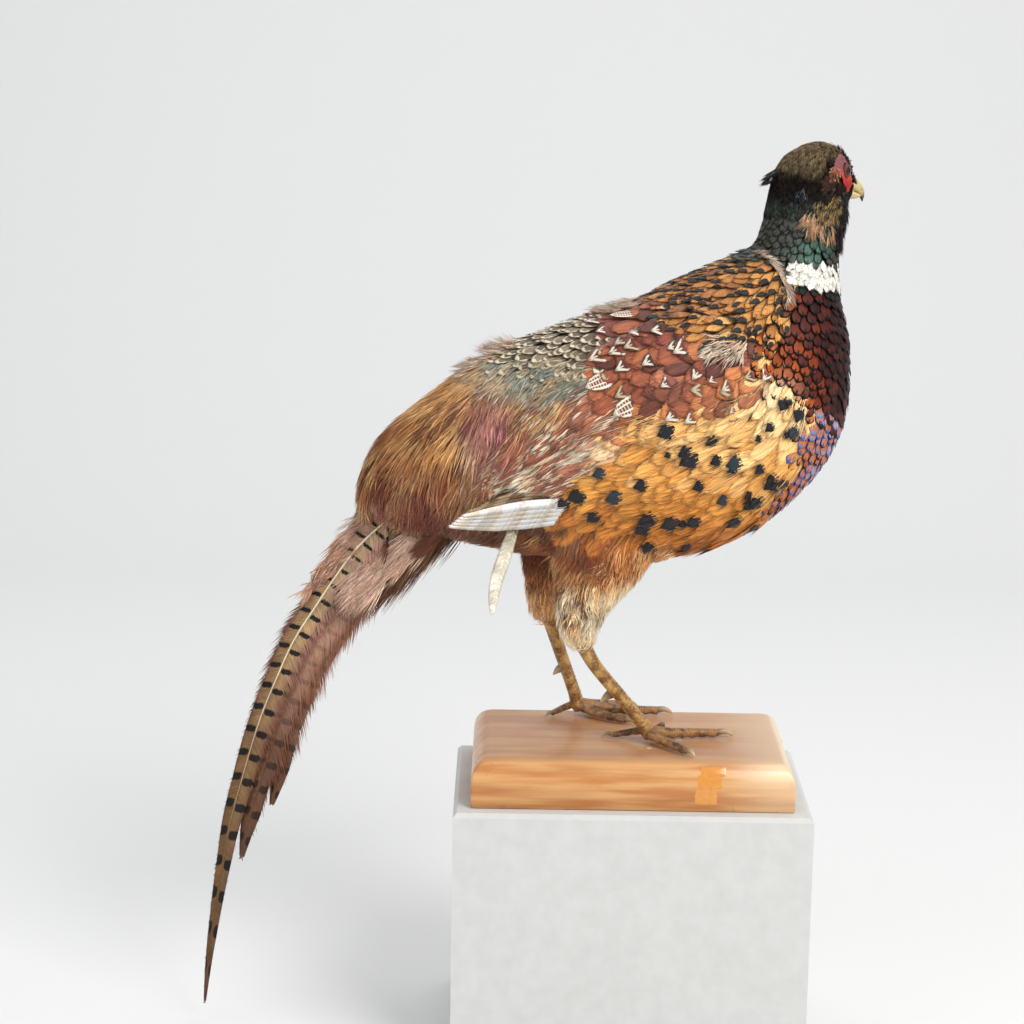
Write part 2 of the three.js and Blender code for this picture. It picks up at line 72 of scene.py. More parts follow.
def shade(codes, tone):
    """Colours along a list of codes: tone 0 is the first, 1 the last."""
    colours = np.array([hue(c) for c in codes])
    at = np.clip(tone, 0, 1) * (len(codes) - 1)
    return np.stack([np.interp(at, range(len(codes)), colours[:, k]) for k in range(3)], -1)


def to_row(points):
    return (np.asarray(points, float) + (0, 0, PLINTH_HEIGHT)) * MM


def spline(points, at):
    """A smooth curve through points, at places counted in list steps."""
    p = np.asarray(points, float).reshape(len(points), -1)
    p = np.vstack([2 * p[0] - p[1], p, 2 * p[-1] - p[-2]])
    at = np.clip(np.asarray(at, float), 0, len(points) - 1 - 1e-9)
    i = at.astype(int)
    t = (at - i)[:, None]
    a, b, c, d = p[i], p[i + 1], p[i + 2], p[i + 3]
    return 0.5 * (2 * b + (c - a) * t + (2 * a - 5 * b + 4 * c - d) * t**2
                  + (3 * b - a - 3 * c + d) * t**3)


def inside(outline, x, z):
    """Whether points lie in an outline drawn on the bird's side view."""
    found = np.zeros(len(x), bool)
    for (x0, z0), (x1, z1) in zip(outline, outline[1:] + outline[:1]):
        crosses = (z0 > z) != (z1 > z)
        found ^= crosses & (x < (x1 - x0) * (z - z0) / (z1 - z0 + 1e-9) + x0)
    return found


def mesh_object(name, points, tris, smooth_faces=True):
    """A mesh from millimetre points and triangles, placed in the row frame."""
    mesh = bpy.data.meshes.new(name)
    points = to_row(points)
    tris = np.asarray(tris, np.int32)
    mesh.vertices.add(len(points))
    mesh.vertices.foreach_set("co", points.astype(np.float32).ravel())
    mesh.loops.add(3 * len(tris))
    mesh.loops.foreach_set("vertex_index", tris.ravel())
    mesh.polygons.add(len(tris))
    mesh.polygons.foreach_set("loop_start", np.arange(0, 3 * len(tris), 3, dtype=np.int32))
    mesh.polygons.foreach_set("use_smooth", np.full(len(tris), smooth_faces))
    mesh.update(calc_edges=True)
    mesh.validate()
    obj = bpy.data.objects.new(name, mesh)
    bpy.context.scene.collection.objects.link(obj)
    return obj


def put(mesh, name, kind, values):
    """Stores one value a vertex: kind is FLOAT, FLOAT_VECTOR or FLOAT_COLOR."""
    key = {"FLOAT": "value", "FLOAT_VECTOR": "vector", "FLOAT_COLOR": "color"}[kind]
    if kind == "FLOAT_COLOR":
        values = np.concatenate([values, np.ones((len(values), 1))], 1)
    layer = mesh.attributes.new(name, kind, "POINT")
    layer.data.foreach_set(key, np.asarray(values, np.float32).ravel())


def points_of(obj):
    """An object's vertices and triangles, in bird millimetres."""
    mesh = obj.data
    co = np.zeros(3 * len(mesh.vertices), np.float32)
    mesh.vertices.foreach_get("co", co)
    mesh.calc_loop_triangles()
    tris = np.zeros(3 * len(mesh.loop_triangles), np.int32)
    mesh.loop_triangles.foreach_get("vertices", tris)
    return co.reshape(-1, 3) / MM - (0, 0, PLINTH_HEIGHT), tris.reshape(-1, 3)


def remade(obj, voxel, turns, factor=0.5):
    """Voxel remesh and smoothing, applied; voxel in millimetres."""
    remesh = obj.modifiers.new("remesh", "REMESH")
    remesh.mode = "VOXEL"
    remesh.voxel_size = voxel * MM
    relax = obj.modifiers.new("relax", "SMOOTH")
    relax.factor = factor
    relax.iterations = turns
    graph = bpy.context.evaluated_depsgraph_get()
    mesh = bpy.data.meshes.new_from_object(obj.evaluated_get(graph))
    obj.modifiers.clear()
    obj.data = mesh
    for polygon in mesh.polygons:
        polygon.use_smooth = True
    return obj


def joined(name, nodes):
    """One new object from the shapes of several CAD nodes."""
    points, tris, count = [], [], 0
    for node in nodes:
        p, t = points_of(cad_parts[node])
        points.append(p)
        tris.append(t + count)
        count += len(p)
    return mesh_object(name, np.concatenate(points), np.concatenate(tris))


# ---- node materials ----------------------------------------------------------


class Paint:
    """A short way to write a material's nodes. Inputs are sockets, numbers or colours."""

    def __init__(self, name):
        self.material = bpy.data.materials.new(name)
        self.material.use_nodes = True
        self.tree = self.material.node_tree
        self.tree.nodes.clear()
        self.out = self.add("OutputMaterial")

    def add(self, kind, **settings):
        node = self.tree.nodes.new("ShaderNode" + kind)
        for key, value in settings.items():
            setattr(node, key, value)
        return node

    def feed(self, socket, value):
        if isinstance(value, bpy.types.NodeSocket):
            self.tree.links.new(value, socket)
        elif isinstance(value, str):
            socket.default_value = (*hue(value), 1)
        elif hasattr(value, "__len__") and len(value) == 3 and socket.type == "RGBA":
            socket.default_value = (*value, 1)
        else:
            socket.default_value = value

    def math(self, operation, a, b=0.0, c=0.0):
        node = self.add("Math", operation=operation)
        for socket, value in zip(node.inputs, (a, b, c)):
            self.feed(socket, value)
        return node.outputs[0]

    def both(self, a, b):
        return self.math("MULTIPLY", a, b)

    def either(self, a, b):
        return self.math("MAXIMUM", a, b)

    def rise(self, value, low, high):
        """0 below low and 1 above high, smoothly."""
        node = self.add("MapRange", interpolation_type="SMOOTHSTEP")
        self.feed(node.inputs[0], value)
        self.feed(node.inputs[1], low)
        self.feed(node.inputs[2], high)
        return node.outputs[0]

    def scale(self, value, low, high, to_low, to_high):
        node = self.add("MapRange")
        for socket, v in zip(node.inputs, (value, low, high, to_low, to_high)):
            self.feed(socket, v)
        return node.outputs[0]

    def mix(self, share, a, b, blend="MIX"):
        node = self.add("Mix", data_type="RGBA", blend_type=blend)
        self.feed(node.inputs[0], share)
        self.feed(node.inputs[6], a)
        self.feed(node.inputs[7], b)
        return node.outputs[2]

    def vector(self, x, y, z):
        node = self.add("CombineXYZ")
        for socket, value in zip(node.inputs, (x, y, z)):
            self.feed(socket, value)
        return node.outputs[0]

    def parts(self, vector):
        node = self.add("SeparateXYZ")
        self.feed(node.inputs[0], vector)
        return node.outputs

    def stored(self, name):
        return self.add("Attribute", attribute_name=name)

    def place(self, scale=(1, 1, 1)):
        """Places on the part, in metres, stretched by scale."""
        node = self.add("Mapping")
        self.feed(node.inputs[0], self.add("TexCoord").outputs["Object"])
        node.inputs[3].default_value = scale
        return node.outputs[0]

    def noise(self, vector, scale, detail=3.0, rough=0.55):
        node = self.add("TexNoise")
        self.feed(node.inputs["Vector"], vector)
        node.inputs["Scale"].default_value = scale
        node.inputs["Detail"].default_value = detail
        node.inputs["Roughness"].default_value = rough
        return node.outputs[0]

    def cells(self, vector, scale, feature="F1"):
        node = self.add("TexVoronoi", feature=feature)
        self.feed(node.inputs["Vector"], vector)
        node.inputs["Scale"].default_value = scale
        return node.outputs["Distance"]

    def bump(self, height, strength, distance, base=None):
        node = self.add("Bump")
        node.inputs["Strength"].default_value = strength
        node.inputs["Distance"].default_value = distance
        self.feed(node.inputs["Height"], height)
        if base is not None:
            self.feed(node.inputs["Normal"], base)
        return node.outputs[0]

    def finish(self, colour, rough, normal=None, **fixed):
        shader = self.add("BsdfPrincipled")
        self.feed(shader.inputs["Base Color"], colour)
        self.feed(shader.inputs["Roughness"], rough)
        if normal is not None:
            self.feed(shader.inputs["Normal"], normal)
        for name, value in fixed.items():
            shader.inputs[name.replace("_", " ")].default_value = value
        self.tree.links.new(shader.outputs[0], self.out.inputs[0])
        return self.material


# ---- the bird's own coordinates ------------------------------------------------

# Each station joins the back line to the breast or belly line: back x, z, front x, z.
STATIONS = np.array([
    [108, 450, 128, 446], [97, 444, 134, 438], [90, 432, 138, 424], [86.5, 415, 140, 404],
    [84, 402, 137, 391], [79, 386, 136, 376], [73, 379, 137, 363], [60, 374, 139, 346],
    [41, 366, 146, 321], [17, 355, 148, 286], [-7, 342, 144, 253], [-35, 334, 126, 220],
    [-62, 324, 94, 188], [-90, 312, 55, 168], [-114, 299, 12, 160], [-138, 281, -34, 161],
    [-160, 263, -77, 165], [-178, 246, -110, 171], [-190, 226, -130, 175],
    [-196, 200, -140, 177],
], float)  # fmt: skip
HALF_WIDTHS = [8, 16, 21, 23, 23.5, 25, 28.5, 36, 46, 57, 65, 69, 70, 69, 65, 58, 51, 44, 37, 30]


def body_place(points):
    """How far down the body each point is, in stations, and its angle round the body."""
    x, z = points[:, 0], points[:, 2]
    back, front = STATIONS[:, :2], STATIONS[:, 2:]
    line = front - back
    length = np.linalg.norm(line, axis=1)
    off_x = x[:, None] - back[None, :, 0]
    off_z = z[:, None] - back[None, :, 1]
    beyond = -(line[:, 0] * off_z - line[:, 1] * off_x) / length
    station = np.full(len(x), len(STATIONS) - 1.0)
    for k in range(len(STATIONS) - 2, -1, -1):
        before, after = beyond[:, k], beyond[:, k + 1]
        here = (before >= 0) & (after < 0)
        station[here] = (k + before / np.maximum(before - after, 1e-6))[here]
    station[(beyond[:, 0] < 0) & (z > 380)] = 0
    middle = (back + front) / 2
    mx = np.interp(station, range(len(STATIONS)), middle[:, 0])
    mz = np.interp(station, range(len(STATIONS)), middle[:, 1])
    ux = np.interp(station, range(len(STATIONS)), -line[:, 0] / length)
    uz = np.interp(station, range(len(STATIONS)), -line[:, 1] / length)
    level = (x - mx) * ux + (z - mz) * uz
    return station, np.arctan2(points[:, 1] - BIRD_Y, level)


HEAD_AXES = np.array(
    (Matrix.Rotation(math.radians(HEAD_TURN), 3, "Z")
     @ Matrix.Rotation(math.radians(HEAD_PITCH), 3, "Y"))
)  # fmt: skip


def in_head(points):
    """Points in the head's own frame: +X to the bill, +Y to its left."""
    return (points - HEAD_AT) @ HEAD_AXES


def from_head(points):
    return np.asarray(points, float) @ HEAD_AXES.T + HEAD_AT


# Which way the feathers lie, on the side view: x, z, then the direction.
LIES = np.array([
    [106, 406, -0.05, -1], [87, 392, -0.24, -0.97], [132, 389, 0.05, -1], [87, 377, -0.8, -0.6],
    [70, 369, -0.89, -0.45], [39, 358, -0.92, -0.4], [-1, 338, -0.92, -0.4], [65, 319, -0.86, -0.51],
    [89, 350, -0.6, -0.8], [107, 331, -0.3, -0.95], [138, 328, 0.08, -1], [107, 291, -0.51, -0.86],
    [140, 273, -0.1, -1], [122, 239, -0.71, -0.71], [98, 211, -0.89, -0.45], [44, 184, -0.98, -0.2],
    [67, 251, -0.97, -0.25], [7, 215, -0.98, -0.18], [-27, 229, -0.98, -0.22],
    [-1, 257, -0.94, -0.35], [25, 292, -0.92, -0.38], [-29, 284, -0.86, -0.51],
    [-55, 263, -0.76, -0.65], [-88, 234, -0.82, -0.57], [-56, 307, -0.55, -0.83],
    [-25, 318, -0.73, -0.68], [-96, 295, -0.55, -0.83], [-137, 263, -0.5, -0.86],
    [-175, 233, -0.42, -0.91], [-182, 201, -0.25, -0.97], [-143, 184, -0.25, -0.97],
    [-126, 224, -0.25, -0.97], [-102, 260, 0, -1], [-81, 195, -0.51, -0.86],
    [-190, 165, -0.6, -0.8], [-215, 135, -0.62, -0.78], [-235, 105, -0.55, -0.83],
    [-165, 160, -0.5, -0.87], [-185, 140, -0.6, -0.8], [-32, 165, -0.3, -0.95], [2, 158, -0.2, -0.98], [-38, 120, 0.02, -1], [-60, 120, 0.05, -1],
], float)  # fmt: skip


def lie_at(points, normals):
    """The direction of the coat at points of the skin, along the skin."""
    gap = (points[:, None, [0, 2]] - LIES[None, :, :2]) ** 2
    weight = 1 / (gap.sum(-1) + 30) ** 1.6
    side = (weight[..., None] * LIES[None, :, 2:]).sum(1)
    lie = np.stack([side[:, 0], np.zeros(len(side)), side[:, 1]], 1)
    lie = unit(lie)
    local = in_head(points)
    back = smooth(local[:, 0], 8, -26)
    low = smooth(local[:, 2], 6, -24)
    down = np.clip(0.25 + 0.9 * back + 0.5 * low, 0, 1)
    head_lie = np.stack([-(1.05 - 0.8 * back - 0.2 * low), 0 * down, -down], 1) @ HEAD_AXES.T
    share = smooth(points[:, 2], 398, 420)[:, None]
    lie = unit(lie * (1 - share) + unit(head_lie) * share)
    lie = lie - normals * (lie * normals).sum(-1, keepdims=True)
    return unit(lie)


# ---- the outside of the plumage and the skin under it ----------------------------

FLESH = ["head", "neck", "neck_collar", "breast", "trunk", "rump", "thigh_right", "thigh_left",
         "tail_coverts_above", "tail_coverts_below"]  # fmt: skip
WINGS = [f"wing_{side}_{part}" for side in ("right", "left") for part in ("coverts", "secondaries")]


class Outside:
    """The smoothed outer surface that the feathers' tips reach."""

    def __init__(self, obj):
        self.points, self.tris = points_of(obj)
        corners = self.points[self.tris]
        cross = np.cross(corners[:, 1] - corners[:, 0], corners[:, 2] - corners[:, 0])
        self.area = np.linalg.norm(cross, axis=1) / 2
        self.normals = np.zeros_like(self.points)
        for k in range(3):
            np.add.at(self.normals, self.tris[:, k], cross)
        self.normals = unit(self.normals)
        self.face_normals = unit(self.normals[self.tris].sum(1))
        self.centres = corners.mean(1)
        self.tree = BVHTree.FromPolygons(self.points.tolist(), self.tris.tolist())

    def snap(self, points):
        """The nearest points of the surface, and its normals there."""
        found = [self.tree.find_nearest(Vector(p)) for p in points]
        at = np.array([f[0] for f in found])
        return at, self.face_normals[[f[2] for f in found]]

    def scatter(self, spacing, keep, tries=7):
        """Roots at least spacing apart on the part of the surface that keep() picks."""
        chosen = np.where(keep(self.centres))[0]
        if not len(chosen):
            return np.zeros((0, 3)), np.zeros((0, 3))
        share = self.area[chosen] / self.area[chosen].sum()
        count = int(tries * self.area[chosen].sum() / spacing**2) + 8
        face = rng.choice(chosen, count, p=share)
        a, b = rng.random((2, count))
        flip = a + b > 1
        a[flip], b[flip] = 1 - a[flip], 1 - b[flip]
        p0, p1, p2 = (self.points[self.tris[face, k]] for k in range(3))
        spots = p0 + (p1 - p0) * a[:, None] + (p2 - p0) * b[:, None]
        taken, kept = {}, []
        for i, spot in enumerate(spots):
            cell = tuple((spot // spacing).astype(int))
            near = (
                j
                for dx in (-1, 0, 1)
                for dy in (-1, 0, 1)
                for dz in (-1, 0, 1)
                for j in taken.get((cell[0] + dx, cell[1] + dy, cell[2] + dz), ())
            )
            if all(((spots[j] - spot) ** 2).sum() >= spacing**2 for j in near):
                taken.setdefault(cell, []).append(i)
                kept.append(i)
        return spots[kept], self.face_normals[face[kept]]

    def evened(self, roots, spacing, turns=8):
        """Pushes roots apart until they lie in even rows."""
        reach = 1.7 * spacing
        for _ in range(turns):
            tree = KDTree(len(roots))
            for i, root in enumerate(roots):
                tree.insert(root, i)
            tree.balance()
            push = np.zeros_like(roots)
            for i, root in enumerate(roots):
                for other, j, gap in tree.find_range(root, reach):
                    if j != i:
                        push[i] += (root - np.array(other)) / gap * (reach - gap)
            roots, normals = self.snap(roots + 0.12 * push)
        return roots, normals


outer_object = remade(joined("outer", FLESH + WINGS), 2.4, 7)
outside = Outside(outer_object)


# ---- feather shapes ----------------------------------------------------------------


def blades(path, half, height, lift, strand):
    """Closed three-sided barbs. path (barbs, rings, 2) in mm ends in the barbs' tips."""
    count, rings, _ = path.shape
    ahead = unit(np.gradient(path, axis=1))
    across = np.stack([-ahead[..., 1], ahead[..., 0]], -1)
    body = path[:, :-1]
    wide = across[:, :-1] * half[:, :-1, None]
    ring = np.stack([body + wide, body, body - wide], 2).reshape(count, -1, 2)
    flat = np.concatenate([ring, path[:, -1:]], 1)
    up = np.zeros(flat.shape[:2])
    up[:, 1:-1:3] = height
    up += np.asarray(lift)[:, None]
    each = 3 * (rings - 1) + 1
    tris = [[0, 1, 2]]
    for r in range(rings - 2):
        for k in range(3):
            a, b = 3 * r + k, 3 * r + (k + 1) % 3
            tris += [[a, a + 3, b], [b, a + 3, b + 3]]
    last = 3 * (rings - 2)
    tris += [[last + k, each - 1, last + (k + 1) % 3] for k in range(3)]
    tris = (np.array(tris)[None] + (np.arange(count) * each)[:, None, None]).reshape(-1, 3)
    return {"xy": flat.reshape(-1, 2), "up": up.ravel(), "tris": tris,
            "strand": np.repeat(strand, each)}  # fmt: skip


def vane_width(v, fullest=0.55, root=0.25, point=0.5):
    """A contour feather's half width, of its fullest, at a share of its length; a bigger
    point gives a sharper tip."""
    rising = root + (1 - root) * np.sin(np.clip(v / fullest, 0, 1) * np.pi / 2)
    falling = np.clip(1 - ((v - fullest) / (1 - fullest)) ** 2, 0, 1) ** point
    return np.where(v < fullest, rising, falling)


def vane(length, half, rows=6, columns=6, thick=0.35, fullest=0.55, point=0.5):
    """A thin closed leaf: columns over the top of each row, one point below."""
    v = np.linspace(0, 1, rows + 1)[:-1] ** 0.85
    u = np.linspace(-1, 1, columns + 1)
    wide = vane_width(v, fullest, point=point)
    x = u[None] * wide[:, None] * half
    y = v[:, None] * length - 0.06 * length * (1 - np.cos(u[None] * 1.2)) * (v[:, None] > 0.5)
    top = np.tile(thick * (1 - u**2), (rows, 1))
    ring = columns + 2
    xy = np.zeros((rows, ring, 2))
    up = np.zeros((rows, ring))
    uv = np.zeros((rows, ring, 2))
    xy[:, :-1, 0], xy[:, :-1, 1], up[:, :-1] = x, y, top
    xy[:, -1, 1], up[:, -1] = v * length, -0.15 * thick
    uv[:, :-1, 0], uv[:, :-1, 1], uv[:, -1, 1] = u[None], y / length, v
    tris = [[k, (k + 1) % ring, ring - 1] for k in range(columns)]
    for r in range(rows - 1):
        for k in range(ring):
            a, b = r * ring + k, r * ring + (k + 1) % ring
            tris += [[a, b, a + ring], [b, b + ring, a + ring]]
    tip, last = rows * ring, (rows - 1) * ring
    tris += [[last + k, last + (k + 1) % ring, tip] for k in range(ring)]
    edge = np.zeros((rows, ring))
    edge[:, [0, columns]] = 1
    edge[-1, :-1] = 1
    return {
        "xy": np.vstack([xy.reshape(-1, 2), [[0, length]]]),
        "up": np.append(up.ravel(), 0.1 * thick),
        "uv": np.vstack([uv.reshape(-1, 2), [[0, 1]]]),
        "tris": np.array(tris)[:, ::-1],
        "edge": np.append(edge.ravel(), 1),
        "strand": np.full(rows * ring + 1, 0.5),
    }


def barbs(length, half, count, start, spread, width, rings=4, sweep=0.4, messy=0.08, height=0.25,
          tips=0.0):  # fmt: skip
    """The loose barbs of one feather, from its shaft out to the rim, as a template."""
    k = np.arange(count)
    side = np.where(k % 2, 1.0, -1.0)
    root = start + (0.93 - start) * ((k + 0.5) / count) ** 1.1
    end = np.minimum(root + sweep * (1.05 - 0.5 * root), 1.0) + messy * rng.normal(size=count) * 0.6
    out = side * spread * vane_width(np.clip(end - 0.12, 0, 0.97)) * (1 + messy * rng.normal(size=count))
    out *= 1 - 0.75 * smooth(root, 0.6, 0.95)
    q = np.linspace(0, 1, rings)[None]
    x = out[:, None] * q**0.8 * half
    y = (root[:, None] + (end - root)[:, None] * q**1.15) * length
    x = x + messy * half * rng.normal(size=(count, 1)) * q**2
    wide = width * (1 - 0.5 * q) * np.ones((count, 1)) * (0.7 + 0.6 * rng.random((count, 1)))
    made = blades(np.stack([x, y], -1), wide, height, tips * rng.random(count), rng.random(count))
    made["uv"] = made["xy"] / (half, length)
    made["edge"] = np.zeros(len(made["up"]))
    return made


def hairs(length, half, count, width, rings=4, start=0.0, messy=0.12, height=0.25, tips=0.6):
    """A plume of barbs that run almost side by side from near the root."""
    root = start + 0.45 * rng.random(count)
    end = 0.72 + 0.36 * rng.random(count)
    out = np.linspace(-1, 1, count) + messy * rng.normal(size=count)
    q = np.linspace(0, 1, rings)[None]
    bend = messy * rng.normal(size=(count, 1))
    x = (out[:, None] * (0.25 + 0.75 * q**0.7) + bend * q**2) * half
    y = (root[:, None] + (end - root)[:, None] * q) * length
    wide = width * (1 - 0.45 * q) * (0.6 + 0.8 * rng.random((count, 1)))
    made = blades(np.stack([x, y], -1), wide, height, tips * rng.random(count), rng.random(count))
    made["uv"] = made["xy"] / (half, length)
    made["edge"] = np.zeros(len(made["up"]))
    return made


def combined(*shapes):
    """Several shapes as one feather."""
    offsets = np.cumsum([0] + [len(s["up"]) for s in shapes[:-1]])
    made = {k: np.concatenate([s[k] for s in shapes]) for k in ("xy", "up", "uv", "edge", "strand")}
    made["tris"] = np.concatenate([s["tris"] + o for s, o in zip(shapes, offsets)])
    return made


def unwrap(roots):
    """Each root's place on an unwrap of the bird: round it, and down it."""
    station, angle = body_place(roots)
    down = np.where(roots[:, 2] < 158, 19 + (158 - roots[:, 2]) / 12, station)
    around = np.where(
        roots[:, 2] < 158,
        np.arctan2(roots[:, 1] - np.where(roots[:, 1] > 14, 42, -18), roots[:, 0] + 45),
        angle,
    )
    return np.stack([0.01 + 0.98 * (around + np.pi) / (2 * np.pi), 0.01 + 0.98 * down / 25], 1)


SPINE_STEPS = 4


def grow(shapes, roots, normals, length, half, ground, mark, depth=3.0, lift=0.0, cling=1.0,
         turn=0.0, size=0.12, ragged=0.06, droop=0.004, curl=0.0, lies=None):  # fmt: skip
    """Feathers on the outside surface. Each root gets one of the shapes, which were drawn at
    length and half; its root is depth under the surface and its tip lift above it."""
    count = len(roots)
    grown = 1 + size * rng.normal(size=count).clip(-2, 2)
    lie = lie_at(roots, normals) if lies is None else lies
    twist = turn * rng.normal(size=count)[:, None]
    at, normal = roots, normals
    path, ups, sides = [], [], []
    for step in range(SPINE_STEPS + 1):
        ahead = unit(lie + twist * np.cross(normal, lie))
        path.append(at)
        ups.append(normal)
        sides.append(unit(np.cross(normal, ahead)))
        going = at + ahead * (length * grown / SPINE_STEPS)[:, None]
        snapped, near = outside.snap(going)
        gap = np.linalg.norm(snapped - going, axis=1)[:, None]
        pull = cling * np.minimum(1, 2.5 / np.maximum(gap, 1e-6))
        at = going + (snapped - going) * pull
        normal = unit(normal * (1 - pull) + near * pull)
        lie = lie_at(at, normal) if lies is None else unit(
            lies - normal * (lies * normal).sum(-1, keepdims=True))  # fmt: skip
    path, ups, sides = (np.stack(a, 1) for a in (path, ups, sides))
    level = rng.random(count) * 0.5
    own = rng.random(count)
    which = rng.integers(0, len(shapes), count)
    patches = unwrap(roots)
    made = []
    for k, shape in enumerate(shapes):
        mine = np.where(which == k)[0]
        if not len(mine):
            continue
        v = shape["xy"][:, 1] / length
        u = shape["xy"][:, 0]
        seg = np.clip((v * SPINE_STEPS).astype(int), 0, SPINE_STEPS - 1)
        part = (v * SPINE_STEPS - seg)[None, :, None]
        between = lambda a: a[mine][:, seg] * (1 - part) + a[mine][:, seg + 1] * part
        jag = rng.normal(size=(len(mine), len(v))) * ragged * shape["edge"][None]
        across = u[None] * (grown[mine][:, None]) * (1 + jag)
        rise = (
            -depth * np.clip(1 - v, 0, 1)[None] ** 1.25
            + lift * np.clip(v, 0, 1.2)[None] ** 2
            + shape["up"][None]
            + level[mine][:, None]
            - droop * across**2
            + curl * np.clip(v - 0.6, 0, 1)[None] ** 2 * length
        )
        along = between(ups)
        spots = between(path) + between(sides) * across[..., None] + unit(along) * rise[..., None]
        n, m = len(mine), len(v)
        made.append({
            "points": spots.reshape(-1, 3),
            "tris": (shape["tris"][None] + (np.arange(n) * m)[:, None, None]).reshape(-1, 3),
            "each": (m, len(shape["tris"])),
            "vane": np.concatenate(
                [np.tile(shape["uv"], (n, 1)), np.repeat(own[mine], m)[:, None]], 1),
            "strand": np.tile(shape["strand"], n),
            "ground": np.repeat(ground[mine], m, 0),
            "mark": np.repeat(mark[mine], m, 0),
            "patch": np.repeat(patches[mine], m, 0)
            + PATCH * (np.tile(shape["uv"], (n, 1)).clip(-1, 1.2) - (0, 0.5)) * (0.5, 1),
        })  # fmt: skip
    return made


def coat(name, batches, material, slot, replaced=()):
    """Joins batches of feathers into pieces, each under the most triangles."""
    groups, total = [[]], 0
    for batch in batches:
        vertices, faces = batch["each"]
        count = len(batch["tris"]) // faces
        first = 0
        while first < count:
            room = int((MOST_TRIANGLES - total) // faces)
            if room < 1:
                groups.append([])
                total = 0
                continue
            last = min(count, first + room)
            part = {k: batch[k][first * vertices : last * vertices]
                    for k in ("points", "vane", "strand", "ground", "mark", "patch")}  # fmt: skip
            part["tris"] = batch["tris"][first * faces : last * faces] - first * vertices
            groups[-1].append(part)
            total += len(part["tris"])
            first = last
    made = []
    for i, group in enumerate(g for g in groups if g):
        offsets = np.cumsum([0] + [len(p["points"]) for p in group[:-1]])
        values = {k: np.concatenate([p[k] for p in group])
                  for k in ("points", "vane", "strand", "ground", "mark", "patch")}  # fmt: skip
        tris = np.concatenate([p["tris"] + o for p, o in zip(group, offsets)])
        title = name if len([g for g in groups if g]) == 1 else f"{name}_{i + 1}"
        obj = mesh_object(title, values["points"], tris)
        mesh = obj.data
        put(mesh, "vane", "FLOAT_VECTOR", values["vane"])
        put(mesh, "strand", "FLOAT", values["strand"])
        put(mesh, "ground", "FLOAT_COLOR", values["ground"])
        put(mesh, "mark", "FLOAT_COLOR", values["mark"])
        corner = np.zeros(len(mesh.loops), np.int32)
        mesh.loops.foreach_get("vertex_index", corner)
        layer = mesh.uv_layers.new(name="OFBake")
        layer.uv.foreach_set("vector", values["patch"][corner].astype(np.float32).ravel())
        mesh.materials.append(material)
        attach(obj, "root")
        made.append(obj)
    if replaced:
        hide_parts(*replaced)
    return made


# ---- feather markings -------------------------------------------------------------------

# Each takes the feather's own places: u from the shaft to the edge, v from root to tip, its own
# number and the signed u. It gives the share of the mark colour and the share of shadow.


def plain_marks(p, u, v, own, across):
    return 0.0, 0.0


def less(p, a, b, soft=0.06):
    """1 where a is under b, with a soft edge."""
    return p.rise(p.math("SUBTRACT", b, a), 0.0, soft)


def oval(p, u, v, wide, middle, tall):
    """How far a place is from an oval's middle; 1 is its rim."""
    a = p.math("POWER", p.both(u, 1 / wide), 2.0)
    b = p.math("POWER", p.both(p.math("SUBTRACT", v, middle), 1 / tall), 2.0)
    return p.math("ADD", a, b)


def rim_marks(p, u, v, own, across):
    """A dark rim, broader at the tip, with a short dark point on the shaft."""
    side = p.both(p.rise(u, 0.68, 0.8), p.rise(v, 0.35, 0.6))
    tip = p.rise(p.math("ADD", v, p.both(u, 0.08)), 0.82, 0.88)
    notch = p.both(less(p, u, 0.2), p.rise(v, 0.62, 0.76))
    return p.either(p.either(side, tip), notch), 0.0


def blot_marks(p, u, v, own, across):
    """One round black blot before the tip, with an uneven rim."""
    wave = p.noise(p.vector(p.both(across, 1.6), p.both(v, 7.0), p.both(own, 40.0)), 1.6, 2.0)
    away = p.math("ADD", oval(p, u, v, 0.95, 0.83, 0.19), p.both(wave, 2.0))
    return less(p, away, 2.1, 0.12), 0.0


def mantle_marks(p, u, v, own, across):
    """A thin dark rim, and on half of the feathers a dark blob at the tip."""
    wave = p.noise(p.vector(across, p.both(v, 3.0), p.both(own, 40.0)), 2.5)
    rim = p.rise(p.math("ADD", p.math("ADD", v, p.both(u, 0.1)), p.both(wave, 0.12)), 0.98, 1.03)
    side = p.both(p.rise(u, 0.8, 0.9), p.rise(v, 0.3, 0.5))
    aside = p.math("SUBTRACT", across, 0.35)
    away = p.math("ADD", oval(p, aside, v, 0.9, 0.82, 0.3), p.both(wave, 0.8))
    blob = p.both(less(p, away, 1.3, 0.15), p.rise(own, 0.36, 0.4))
    return p.either(p.either(rim, side), blob), 0.0


def dart_marks(p, u, v, own, across):
    """A pale V with its point at the tip, one arm longer than the other, and a painted shadow round it."""
    to_tip = p.math("SUBTRACT", 1.0, v)
    wave = p.noise(p.vector(p.both(across, 0.9), p.both(v, 2.0), p.both(own, 50.0)), 1.8)
    outer = p.math("ADD", p.both(to_tip, 2.5), 0.14)
    inner = p.both(p.math("SUBTRACT", to_tip, 0.13), 2.6)
    reach = less(p, to_tip, p.math("SUBTRACT", p.both(wave, 1.1), 0.2), 0.05)
    arms = p.both(p.both(less(p, u, outer), less(p, inner, u)), reach)
    middle = p.both(less(p, u, 0.12), less(p, to_tip, 0.3, 0.05))
    # around: a painted shadow that darkens the feather round the pale V
    around = p.both(less(p, u, p.math("ADD", outer, 0.3), 0.2), less(p, to_tip, 0.42, 0.1))
    return p.either(arms, middle), around


